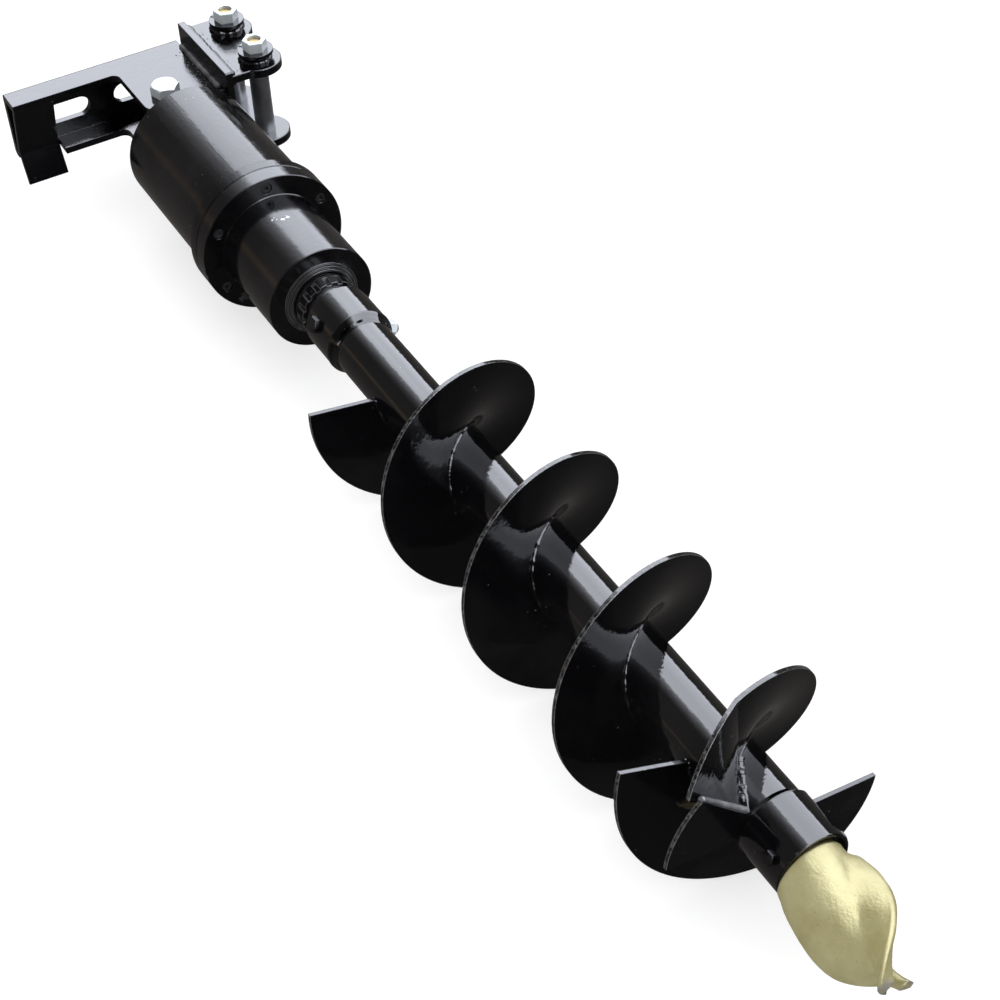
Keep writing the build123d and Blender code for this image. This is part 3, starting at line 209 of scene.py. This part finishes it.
def metal(name, dark, light, rough, grain, bump=0.1, stretch=(1.0, 1.0, 1.0), metallic=1.0, painted_edge_highlight=0.35,
          gold_above=None):
    """Bare or plated metal: cloudy, unevenly polished, edges lightened as a painted highlight, gold above a
    height.
    """
    material, n = new_material(name)
    where = n.add("ShaderNodeTexCoord").outputs["Object"]
    drawn = n.add("ShaderNodeVectorMath", operation="MULTIPLY", i0=where, i1=stretch).outputs[0]
    cloud = n.noise(where, 35.0, 5.0, 0.6)
    colour = n.mix(n.ramp(cloud, 0.3, 0.7), dark, light)
    if gold_above:
        height = n.add("ShaderNodeSeparateXYZ", i0=where).outputs["Z"]
        colour = n.mix(n.ramp(height, gold_above, gold_above + 0.0005), colour, rgb(0.32, 0.24, 0.11))
    fine = n.noise(drawn, grain, 3.0, 0.6)
    edges = edge_mask(n, 0.0008, 0.03, 0.3)
    # painted highlight: the edges are lightened towards white
    colour = n.mix(n.math("MULTIPLY", edges, painted_edge_highlight), colour, rgb(0.9, 0.9, 0.9))
    uneven = n.math("ADD", rough, n.math("MULTIPLY", n.math("SUBTRACT", fine, 0.5), 0.25))
    rounded = n.add("ShaderNodeBevel", samples=BEVEL_SAMPLES, Radius=0.0007).outputs[0]
    relief = n.add("ShaderNodeBump", Strength=bump, Distance=0.0003, Height=fine, Normal=rounded)
    shader = n.add("ShaderNodeBsdfPrincipled", Normal=relief.outputs[0], Roughness=uneven,
                   Metallic=metallic)
    n.tree.links.new(colour, shader.inputs["Base Color"])
    n.add("ShaderNodeOutputMaterial", Surface=shader.outputs[0])
    return material


def cast_paint(name):
    """Pale gold paint on a pitted sand casting: specks of painted shade, a painted edge highlight, greyed
    at the tip.
    """
    material, n = new_material(name)
    where = n.add("ShaderNodeTexCoord").outputs["Object"]
    cloud = n.noise(where, 30.0, 5.0, 0.6)
    paint = n.mix(n.ramp(cloud, 0.3, 0.7), rgb(0.37, 0.33, 0.155), rgb(0.48, 0.445, 0.24))
    # painted shade: dark specks stand for the shade in the casting's pitting
    pit_shade = n.ramp(n.noise(where, 340.0, 2.0, 0.5), 0.70, 0.76)
    paint = n.mix(n.math("MULTIPLY", pit_shade, 0.6), paint, rgb(0.17, 0.14, 0.06))
    # painted highlight: the bit's edges are lightened
    edges = edge_mask(n, 0.0015, 0.03, 0.35)
    paint = n.mix(n.math("MULTIPLY", edges, 0.55), paint, rgb(0.80, 0.76, 0.60))
    along = n.add("ShaderNodeSeparateXYZ", i0=where).outputs["X"]
    ragged = n.math("MULTIPLY", n.math("SUBTRACT", n.noise(where, 80.0, 4.0, 0.7), 0.5), 0.02)
    worn = n.ramp(n.math("ADD", along, ragged), BIT_WORN_FROM, BIT_WORN_FROM + 0.003)
    colour = n.mix(worn, paint, rgb(0.30, 0.29, 0.27))
    grit = n.add("ShaderNodeBump", Strength=0.9, Distance=0.0006, Height=n.noise(where, 300.0, 4.0, 0.65))
    dents = n.add("ShaderNodeBump", Strength=0.5, Distance=0.0012, Height=n.noise(where, 60.0, 2.0),
                  Normal=grit.outputs[0])
    rough = n.math("ADD", n.math("MULTIPLY", cloud, 0.2), 0.26)
    shader = n.add("ShaderNodeBsdfPrincipled", Normal=dents.outputs[0], Roughness=rough, Metallic=0.3)
    n.tree.links.new(colour, shader.inputs["Base Color"])
    n.add("ShaderNodeOutputMaterial", Surface=shader.outputs[0])
    return material


BIT_WORN_FROM = at(1640).x  # beyond it the bit's paint is worn away
MATERIALS = {
    "black_paint": gloss_paint("black_gloss_paint", rough=0.07, drawn=0.3),
    "hood_paint": gloss_paint("hood_gloss_paint", rough=0.09, drawn=0.35, gloss=0.32),
    "nose_paint": gloss_paint("nose_gloss_paint", rough=0.12, gloss=0.42,
                              knocks=(around(385, 71.7, 98), around(393, 71.7, 92))),
    # the turned rings carry a highlight painted on their sharp edges
    "turned_paint": gloss_paint("turned_gloss_paint", rough=0.1, pale_edge_highlight=0.5),
    "hitch_paint": gloss_paint("hitch_gloss_paint", rough=0.08, sparkle=0.16),
    "auger_paint": gloss_paint("auger_gloss_paint", rough=0.035, peel=0.27, rim_radius=0.1244),
    "zinc": metal("bright_zinc", rgb(0.56, 0.61, 0.64), rgb(0.74, 0.79, 0.81), 0.36, 600.0, metallic=0.55),
    "pin_steel": metal("turned_pin_steel", rgb(0.42, 0.43, 0.45), rgb(0.62, 0.63, 0.65), 0.35, 900.0,
                       stretch=(0.2, 0.2, 3.0), gold_above=0.0905),
    "ground_steel": metal("ground_steel", rgb(0.5, 0.5, 0.52), rgb(0.65, 0.65, 0.66), 0.18, 1200.0),
    "gear_steel": metal("machined_steel", rgb(0.16, 0.16, 0.17), rgb(0.3, 0.3, 0.31), 0.3, 700.0,
                        stretch=(3.0, 0.3, 0.3)),
    "screw_steel": metal("black_oxide", rgb(0.008, 0.008, 0.009), rgb(0.025, 0.025, 0.027), 0.35, 500.0,
                         metallic=0.0, painted_edge_highlight=0.03),
    "motor_iron": metal("painted_iron", rgb(0.02, 0.022, 0.026), rgb(0.05, 0.052, 0.06), 0.5, 300.0, 0.5,
                        metallic=0.1),
    "bronze": metal("bearing_bronze", rgb(0.42, 0.26, 0.1), rgb(0.6, 0.4, 0.18), 0.3, 700.0),
    "seal_rubber": metal("seal_rubber", rgb(0.02, 0.02, 0.02), rgb(0.035, 0.035, 0.035), 0.6, 250.0, 0.3,
                         metallic=0.0),
    "gold_casting": cast_paint("gold_casting"),
    "weld_scale": metal("weld_scale", rgb(0.03, 0.03, 0.03), rgb(0.3, 0.3, 0.31), 0.4, 500.0, 0.4,
                        metallic=0.6),
}
# pieces whose paint differs from that of their slot
OWN_PAINT = dict.fromkeys(("hitch_channel", "cradle_stop", "head_plate", "upper_ear_plate",
                           "lower_ear_plate", "pin_collars", "pin_split_washers"), "hitch_paint")
OWN_PAINT.update(dict.fromkeys(("seal_retainer", "shaft_lock_nut", "shaft_spacer"), "turned_paint"))
OWN_PAINT["motor_hood"] = "hood_paint"
OWN_PAINT["nose_housing"] = "nose_paint"

SLOTS = {entry["node"]: entry["material_slot"] for entry in frame["record"]["subparts"]}
for node_name, node in frame["nodes"].items():
    node.data.materials.clear()
    node.data.materials.append(MATERIALS[OWN_PAINT.get(node_name, SLOTS[node_name])])


# ------------------------------------------------------------------ new pieces
def mesh_piece(name, vertices, faces, body, material_name):
    """A smooth-shaded mesh that rides on a body and takes its finish from a record slot."""
    mesh = bpy.data.meshes.new(name)
    mesh.from_pydata(vertices, [], faces)
    mesh.polygons.foreach_set("use_smooth", [True] * len(mesh.polygons))
    mesh.materials.append(MATERIALS[material_name])
    mesh.validate()
    mesh.update()
    piece = bpy.data.objects.new(name, mesh)
    bpy.context.scene.collection.objects.link(piece)
    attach(piece, body)
    return piece


BEAD_SIDES = 10
BEAD_STEP = 0.0007         # metres between the rings of a weld run
RIPPLE_PITCH = 0.0024
LUMP_SCALE = 130           # lumps per metre of the noise that thickens a run


def resample(points, step):
    """Points at even steps along a polyline."""
    lengths = [0.0]
    for before, after in zip(points, points[1:]):
        lengths.append(lengths[-1] + (after - before).length)
    count = max(3, round(lengths[-1] / step))
    even = []
    segment = 0
    for index in range(count + 1):
        distance = lengths[-1] * index / count
        while segment < len(points) - 2 and lengths[segment + 1] < distance:
            segment += 1
        share = (distance - lengths[segment]) / (lengths[segment + 1] - lengths[segment])
        even.append(points[segment].lerp(points[segment + 1], share))
    return even


def bead_mesh(points, radius, closed, seed, lumps):
    """A run of weld: a wandering tube whose overlapping ripples bow along the run."""
    points = resample([Vector(point) for point in points], BEAD_STEP)
    vertices = []
    count = len(points)
    for index, point in enumerate(points):
        before = points[max(index - 1, 0)]
        after = points[min(index + 1, count - 1)]
        along = (after - before).normalized()
        side = along.orthogonal() if index == 0 else side - along * side.dot(along)
        side.normalize()
        up = along.cross(side)
        wander = noise.noise(Vector((seed, point.x * LUMP_SCALE, (point.y + point.z) * LUMP_SCALE)))
        taper = 1.0 if closed else min(1.0, 0.45 + 0.25 * min(index, count - 1 - index))
        for corner in range(BEAD_SIDES):
            turn = math.tau * corner / BEAD_SIDES
            bow = 0.5 * math.cos(turn) ** 2
            phase = (index * BEAD_STEP / RIPPLE_PITCH + bow + 0.35 * wander) % 1.0
            size = radius * taper * (0.78 + 0.26 * phase ** 0.5 + lumps * wander)
            vertices.append(point + (side * math.cos(turn) + up * math.sin(turn)) * size)
    faces = []
    for index in range(count - 1):
        for corner in range(BEAD_SIDES):
            following = (corner + 1) % BEAD_SIDES
            low = index * BEAD_SIDES
            high = low + BEAD_SIDES
            faces.append((low + corner, low + following, high + following, high + corner))
    faces.append(tuple(reversed(range(BEAD_SIDES))))
    faces.append(tuple(range((count - 1) * BEAD_SIDES, count * BEAD_SIDES)))
    return vertices, faces


def weld(name, runs, body, material_name="black_paint", closed=False, lumps=0.3):
    """Several runs of weld in one piece; a run is its points and its radius."""
    vertices = []
    faces = []
    for seed, (points, radius) in enumerate(runs):
        run_vertices, run_faces = bead_mesh(points, radius, closed, seed * 7.3, lumps)
        offset = len(vertices)
        vertices.extend(run_vertices)
        faces.extend(tuple(corner + offset for corner in face) for face in run_faces)
    return mesh_piece(name, vertices, faces, body, material_name)


def straight(start, end):
    return [at(*start), at(*end)]


# flights, as in the CAD: where each starts (mm, degrees), its pitch (mm) and how far it turns
STEADY_START = (694.0, 170.1)
PITCH = 181.3
STEADY_TURN = 3.79 * 360
STEEP_PITCH = 372.0
STEEP_TURN = 44.0
SECOND_START = (1345.0, 157.0)
SECOND_TURN = 158.0


ROOT_RADIUS = 38.5         # just off the tube
FLIGHT_FACES = (-3.1, 3.1)  # from the middle of a flight


def flight_root(start, pitch, turn, offset):
    """A line on the tube beside a flight, offset along the drive axis from the middle of the flight."""
    steps = max(4, round(turn / 4))
    return [around(start[0] + offset + pitch * turn / 360 * step / steps, ROOT_RADIUS,
                   start[1] + turn * step / steps) for step in range(steps + 1)]


steep_start = (STEADY_START[0] + PITCH * STEADY_TURN / 360, STEADY_START[1] + STEADY_TURN)
root_runs = []
for offset in FLIGHT_FACES:
    root_runs.append((flight_root(STEADY_START, PITCH, STEADY_TURN, offset), 0.0022))
    root_runs.append((flight_root(SECOND_START, PITCH, SECOND_TURN, offset), 0.0022))
weld("flight_root_welds", root_runs, "output", "auger_paint", lumps=0.7)
# the foot of the steep flight carries several rough passes
weld("steep_flight_welds", [
    (flight_root(steep_start, STEEP_PITCH, STEEP_TURN, offset), radius)
    for offset, radius in ((-3.1, 0.005), (3.1, 0.005), (7.5, 0.0032), (10.5, 0.0022))
], "output", "auger_paint", lumps=0.75)


def fillet_weld(name, profile, body):
    """A smooth painted fillet of weld right round the tube; profile is its x and radius in mm."""
    steps = 144
    vertices = []
    faces = []
    for step in range(steps):
        turn = 360 * step / steps
        about = math.radians(turn)
        wobble = noise.noise(Vector((profile[0][0], 2 * math.cos(about), 2 * math.sin(about))))
        for index, (x, radius) in enumerate(profile):
            inside = math.sin(math.pi * index / (len(profile) - 1))
            vertices.append(around(x + 2.2 * wobble * inside, radius + 0.5 * wobble * inside, turn))
    row = len(profile)
    for step in range(steps):
        low = step * row
        high = (step + 1) % steps * row
        for index in range(row):
            following = (index + 1) % row
            faces.append((low + following, low + index, high + index, high + following))
    return mesh_piece(name, vertices, faces, body, "auger_paint")


fillet_weld("coupler_weld", [(579.5, 42.5), (580.5, 44.3), (582.0, 45.2), (584.0, 45.0), (586.0, 43.6),
                             (588.0, 41.6), (590.5, 39.9), (594.0, 38.8), (598.0, 38.2), (599.0, 37.0)],
            "output")
fillet_weld("tip_collar_weld", [(1434.5, 37.0), (1435.5, 38.2), (1438.0, 39.0), (1440.0, 40.8),
                                (1441.5, 41.95), (1442.6, 41.7), (1443.2, 40.5)], "output")

blade_runs = []
for edge in (174.0, 354.0):
    blade_runs.append(([around(1433.6, radius, edge - 39.0) for radius in (42, 60, 80, 100, 119)], 0.0036))
    blade_runs.append(([around(1433.0, 39.5, edge - angle) for angle in range(1, 41, 3)], 0.0032))
weld("blade_welds", blade_runs, "output", "weld_scale", lumps=1.1)

HEAD_BACK_Y = 69.0         # the head plate's face towards the channel
HEAD_FRONT_Y = 81.5        # and its face towards the pins
PIN_Y = -1000 * AXIS_Y     # the hitch pins, in millimetres from the drive axis
weld("head_plate_welds", [
    (straight((-103, HEAD_BACK_Y, 51.5), (31, HEAD_BACK_Y, 51.5)), 0.0045),
    (straight((-103, HEAD_BACK_Y, -51.5), (31, HEAD_BACK_Y, -51.5)), 0.0045),
    (straight((34, HEAD_BACK_Y, 41), (34, HEAD_BACK_Y, 49)), 0.004),
], "hitch", "weld_scale")
weld("ear_welds", [
    (straight((-97, HEAD_FRONT_Y, z), (58, HEAD_FRONT_Y, z)), radius)
    for z, radius in ((81.2, 0.0042), (66.6, 0.004), (-34.6, 0.0042), (-49.4, 0.004))
], "hitch", "hitch_paint")


def pin_ring(x, radius, z):
    """A ring about a hitch pin, its ends just overlapping."""
    return [at(x + radius * math.cos(step / 20), PIN_Y + radius * math.sin(step / 20), z)
            for step in range(127)]


weld("collar_welds", [(pin_ring(x, 19.0, 81.2), 0.0052) for x in (-64, 33)],
     "hitch", "hitch_paint", closed=True, lumps=1.0)
weld("cradle_welds", [(straight((-88.5, -194, 39.5), (-88.5, -139, 39.5)), 0.0035)], "hitch", "hitch_paint")
weld("hanger_welds", [(straight((62, y, -37), (62, y, 37)), 0.0038) for y in (-33.5, 33.5)], "drive")


def spatter(name, zones, body, count, seed):
    """Little beads of thrown weld metal stuck near seams; a zone is a line's two ends and a normal."""
    sides = 6
    chance = random.Random(seed)
    vertices = []
    faces = []
    for _ in range(count):
        start, end, normal = chance.choice(zones)
        share = chance.random()
        spread = Vector((chance.gauss(0, 1), chance.gauss(0, 1), chance.gauss(0, 1)))
        spread -= normal * spread.dot(normal)
        centre = at(*start).lerp(at(*end), share) + spread * 0.006
        radius = chance.uniform(0.0004, 0.0011)
        side = normal.orthogonal().normalized()
        up = normal.cross(side)
        offset = len(vertices)
        for ring, height in ((1.0, -0.3), (0.85, 0.4)):
            for corner in range(sides):
                turn = math.tau * corner / sides
                out = side * math.cos(turn) + up * math.sin(turn)
                vertices.append(centre + (out * ring + normal * height) * radius)
        vertices.append(centre + normal * radius * 0.8)
        vertices.append(centre - normal * radius * 0.3)
        upper = offset + sides
        crown = upper + sides
        foot = crown + 1
        for corner in range(sides):
            following = (corner + 1) % sides
            faces.append((offset + corner, offset + following, upper + following, upper + corner))
            faces.append((upper + corner, upper + following, crown))
            faces.append((offset + following, offset + corner, foot))
    return mesh_piece(name, vertices, faces, body, "weld_scale")


UP = Vector((0, 0, 1))
spatter("hitch_spatter", [((-95, 62, 50), (28, 62, 50), UP), ((-90, 88, 80), (50, 88, 80), UP)],
        "hitch", 70, 11)

# ------------------------------------------------------------------ pilot bit
# the same stations as the CAD bit: distance from the shoulder, flute radius, reach of the two wings,
# share of the way round over which a wing falls into its flute, lateness of the rise to the next
# wing, angles of the two wings, and bow to one side (mm, degrees)
BIT_STATIONS = (
    (0.0, 33.0, 33.5, 42.5, 0.22, 0.9, 14.0, 200.0, 0.0),
    (9.0, 31.5, 34.5, 45.0, 0.22, 0.9, 15.0, 202.0, 0.4),
    (17.0, 30.0, 40.0, 47.5, 0.22, 0.9, 16.0, 204.0, 0.8),
    (28.0, 28.0, 43.0, 50.0, 0.22, 0.9, 18.0, 207.0, 1.3),
    (44.0, 24.0, 45.0, 52.5, 0.25, 1.0, 24.0, 213.0, 2.0),
    (66.0, 19.0, 45.0, 53.5, 0.30, 1.1, 35.0, 223.0, 4.0),
    (86.0, 15.0, 43.0, 50.5, 0.35, 1.2, 50.0, 238.0, 7.0),
    (104.0, 10.5, 40.0, 42.0, 0.40, 1.6, 70.0, 262.0, 10.0),
    (119.0, 8.0, 36.0, 32.0, 0.42, 2.2, 95.0, 290.0, 12.5),
    (130.0, 6.5, 32.0, 26.0, 0.44, 2.8, 120.0, 313.0, 13.5),
    (139.0, 5.5, 28.0, 23.0, 0.45, 3.2, 148.0, 335.0, 14.0),
)
BIT_SHOULDER_X = 1503.0
BIT_SHANK_X = 1452.0
BIT_SHANK_RADIUS = 31.0
BIT_BOW_ANGLE = math.radians(206.0)
BIT_LAND = 6.0             # width of a wing's edge
BIT_NOTCH_DEPTH = 24.0
BIT_NOTCH_HALF_WIDTH = 8.0
BIT_NOTCH_REACH = 34.0     # how far from the point the notch begins to show
WING_ANGLE = 6             # the first wing's angle among a station's values
BIT_HALF_POINTS = 60
BIT_RINGS = 90


def station_at(distance):
    """The bit's section values at any distance, smoothly between the stations."""
    table = BIT_STATIONS
    index = 0
    while index < len(table) - 2 and table[index + 1][0] < distance:
        index += 1
    low, high = table[index], table[index + 1]
    before = table[max(index - 1, 0)]
    after = table[min(index + 2, len(table) - 1)]
    span = high[0] - low[0]
    u = (distance - low[0]) / span
    values = []
    for column in range(1, len(low)):
        slope_low = (high[column] - before[column]) / (high[0] - before[0]) * span
        slope_high = (after[column] - low[column]) / (after[0] - low[0]) * span
        values.append((2 * u**3 - 3 * u**2 + 1) * low[column] + (u**3 - 2 * u**2 + u) * slope_low
                      + (3 * u**2 - 2 * u**3) * high[column] + (u**3 - u**2) * slope_high)
    return values


def wing_flank(flute, reach, next_reach, fall, lateness, start_angle, next_angle):
    """Half a section: from one wing's edge down into the flute and up to the next wing."""
    span = math.radians(next_angle - start_angle)
    land = BIT_LAND / next_reach / span
    points = []
    for step in range(BIT_HALF_POINTS):
        u = (1 - land) * step / (BIT_HALF_POINTS - 1)
        if u < fall:
            radius = flute + (reach - flute) * (1 - u / fall) ** 2
        else:
            radius = flute + (next_reach - flute) * ((u - fall) / (1 - fall - land)) ** (1 + lateness)
        points.append((radius, math.radians(start_angle) + span * u))
    return points


def bit_ring(distance):
    """The points of one section of the bit, roughened like a sand casting."""
    flute, first, second, fall, lateness, first_angle, second_angle, bow = station_at(distance)
    outline = wing_flank(flute, first, second, fall, lateness, first_angle, second_angle)
    outline += wing_flank(flute, second, first, fall, lateness, second_angle, first_angle + 360)
    tip = BIT_STATIONS[-1]
    tip_angle = math.radians(tip[WING_ANGLE])
    ring = []
    for radius, turn in outline:
        y = radius * math.cos(turn)
        z = radius * math.sin(turn)
        across = abs(y * math.cos(tip_angle) + z * math.sin(tip_angle))
        depth = BIT_NOTCH_DEPTH * max(0.0, 1 - across / BIT_NOTCH_HALF_WIDTH)
        base = tip[0] - BIT_NOTCH_REACH
        share = max(0.0, (distance - base) / (tip[0] - base))
        x = distance - share**1.5 * depth
        rough = 0.35 * noise.noise(Vector((x, y, z)) * 0.09) + 0.12 * noise.noise(Vector((x, y, z)) * 0.4)
        scale = 1 + rough / max(radius, 8.0)
        ring.append(at(BIT_SHOULDER_X + x, y * scale + bow * math.cos(BIT_BOW_ANGLE),
                       z * scale + bow * math.sin(BIT_BOW_ANGLE)))
    return ring


def build_pilot_bit():
    """The cast bit from its shank to the notched point."""
    count = 2 * BIT_HALF_POINTS
    shank = []
    for x in (BIT_SHANK_X, BIT_SHOULDER_X):
        start = math.radians(BIT_STATIONS[0][WING_ANGLE])
        shank.append([at(x, BIT_SHANK_RADIUS * math.cos(start + math.tau * corner / count),
                         BIT_SHANK_RADIUS * math.sin(start + math.tau * corner / count))
                      for corner in range(count)])
    length = BIT_STATIONS[-1][0]
    rings = shank + [bit_ring(length * step / BIT_RINGS) for step in range(BIT_RINGS + 1)]
    vertices = [point for ring in rings for point in ring]
    faces = [tuple(reversed(range(count)))]
    for index in range(len(rings) - 1):
        low = index * count
        for corner in range(count):
            following = (corner + 1) % count
            faces.append((low + corner, low + following, low + count + following, low + count + corner))
    last = (len(rings) - 1) * count
    for corner in range(BIT_HALF_POINTS - 1):
        mirror = count - 1 - corner
        faces.append((last + corner, last + corner + 1, last + mirror - 1, last + mirror))
    piece = mesh_piece("pilot_bit_casting", vertices, faces, "output", "gold_casting")
    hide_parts("pilot_bit")


build_pilot_bit()

# ------------------------------------------------------------------ floor, light and camera
FLOOR_REACH = 14.0


def pale_floor():
    """A plain floor that lights itself, so that only a faint shadow shows on it."""
    corners = [(x, y, FLOOR_Z) for x, y in ((-FLOOR_REACH, -FLOOR_REACH), (FLOOR_REACH, -FLOOR_REACH),
                                            (FLOOR_REACH, FLOOR_REACH), (-FLOOR_REACH, FLOOR_REACH))]
    mesh = bpy.data.meshes.new("floor")
    mesh.from_pydata(corners, [], [(0, 1, 2, 3)])
    floor = bpy.data.objects.new("floor", mesh)
    bpy.context.scene.collection.objects.link(floor)
    floor.visible_glossy = False
    material, n = new_material("pale_floor")
    shader = n.add("ShaderNodeBsdfPrincipled", Roughness=0.9)
    shader.inputs["Base Color"].default_value = rgb(0.5, 0.5, 0.5)
    shader.inputs["Emission Color"].default_value = rgb(1.0, 1.0, 1.0)
    shader.inputs["Emission Strength"].default_value = 0.58
    n.add("ShaderNodeOutputMaterial", Surface=shader.outputs[0])
    mesh.materials.append(material)


pale_floor()

# how bright the mirrored sky is from -Y (0), the camera's side, to +Y (1), the hitch's side
SKY_STOPS = ((0.31, 0.0), (0.38, 0.04), (0.44, 0.13), (0.49, 0.26), (0.512, 0.42), (0.535, 0.95),
             (0.62, 0.95), (0.80, 0.85))


def sky_brightness(n, sideways):
    """The mirrored sky's brightness by how far to the side a direction points."""
    ramp = n.add("ShaderNodeValToRGB", i0=sideways)
    stops = ramp.color_ramp.elements
    stops.remove(stops[1])
    stops[0].position, first_level = SKY_STOPS[0]
    stops[0].color = rgb(first_level, first_level, first_level)
    for position, level in SKY_STOPS[1:]:
        stops.new(position).color = rgb(level, level, level)
    return ramp.outputs[0]


def studio_world():
    """A soft white room; mirrors see an overcast sky above a dark, ragged skyline instead."""
    world = bpy.data.worlds.new("studio")
    world.use_nodes = True
    world.cycles.sampling_method = "NONE"
    bpy.context.scene.world = world
    n = Nodes(world.node_tree)
    direction = n.add("ShaderNodeTexCoord").outputs["Generated"]
    parts = n.add("ShaderNodeSeparateXYZ", i0=direction)
    ragged = n.math("MULTIPLY", n.math("SUBTRACT", n.noise(direction, 11.0, 6.0, 0.7), 0.5), 0.10)
    height = n.math("ADD", parts.outputs["Z"], ragged)
    sky = n.ramp(height, 0.235, 0.275)
    sideways = n.math("MULTIPLY", n.math("ADD", n.math("ADD", parts.outputs["Y"], ragged), 1.0), 0.5)
    clouds = n.noise(direction, 3.0, 3.0)
    bright = n.mix(clouds, rgb(4.3, 4.5, 5.0), rgb(5.9, 6.1, 6.7))
    level = n.math("MULTIPLY", sky, sky_brightness(n, sideways))
    toward_bit = n.ramp(parts.outputs["X"], -0.3, 0.35)
    ground = n.mix(toward_bit, rgb(0.12, 0.112, 0.105), rgb(0.035, 0.034, 0.033))
    above = n.ramp(height, 0.0, 0.10)
    below = n.ramp(height, 0.22, 0.11)
    behind = n.ramp(parts.outputs["Y"], -0.5, -0.7)
    hedge = n.math("MULTIPLY", n.math("MULTIPLY", above, below), behind)
    ground = n.mix(hedge, ground, rgb(0.34, 0.26, 0.18))
    mirrored = n.mix(level, ground, bright)
    is_glossy = n.add("ShaderNodeLightPath").outputs["Is Glossy Ray"]
    room = n.mix(n.ramp(parts.outputs["Z"], 0.0, 0.9), rgb(0.55, 0.55, 0.56), rgb(1.6, 1.6, 1.61))
    colour = n.mix(is_glossy, room, mirrored)
    n.add("ShaderNodeOutputWorld", Surface=n.add("ShaderNodeBackground", i0=colour).outputs[0])


studio_world()
bpy.context.scene.view_settings.view_transform = "Standard"

# the camera stands beyond the bit and above it, and looks back at the auger
CAMERA_PLACE = at(2309.5, -757.1, 1522.9)
CAMERA_AIM = at(919.1, 2.8, 1.4)
CAMERA_ROLL = math.radians(-2.6)
camera_data = bpy.data.cameras.new("camera")
camera_data.lens = 70.3
camera_data.sensor_width = 36.0
camera = bpy.data.objects.new("camera", camera_data)
facing = (CAMERA_AIM - CAMERA_PLACE).to_track_quat("-Z", "Y").to_matrix().to_4x4()
camera.matrix_world = (Matrix.Translation(CAMERA_PLACE) @ facing
                       @ Matrix.Rotation(CAMERA_ROLL, 4, "Z"))
bpy.context.scene.collection.objects.link(camera)
bpy.context.scene.camera = camera
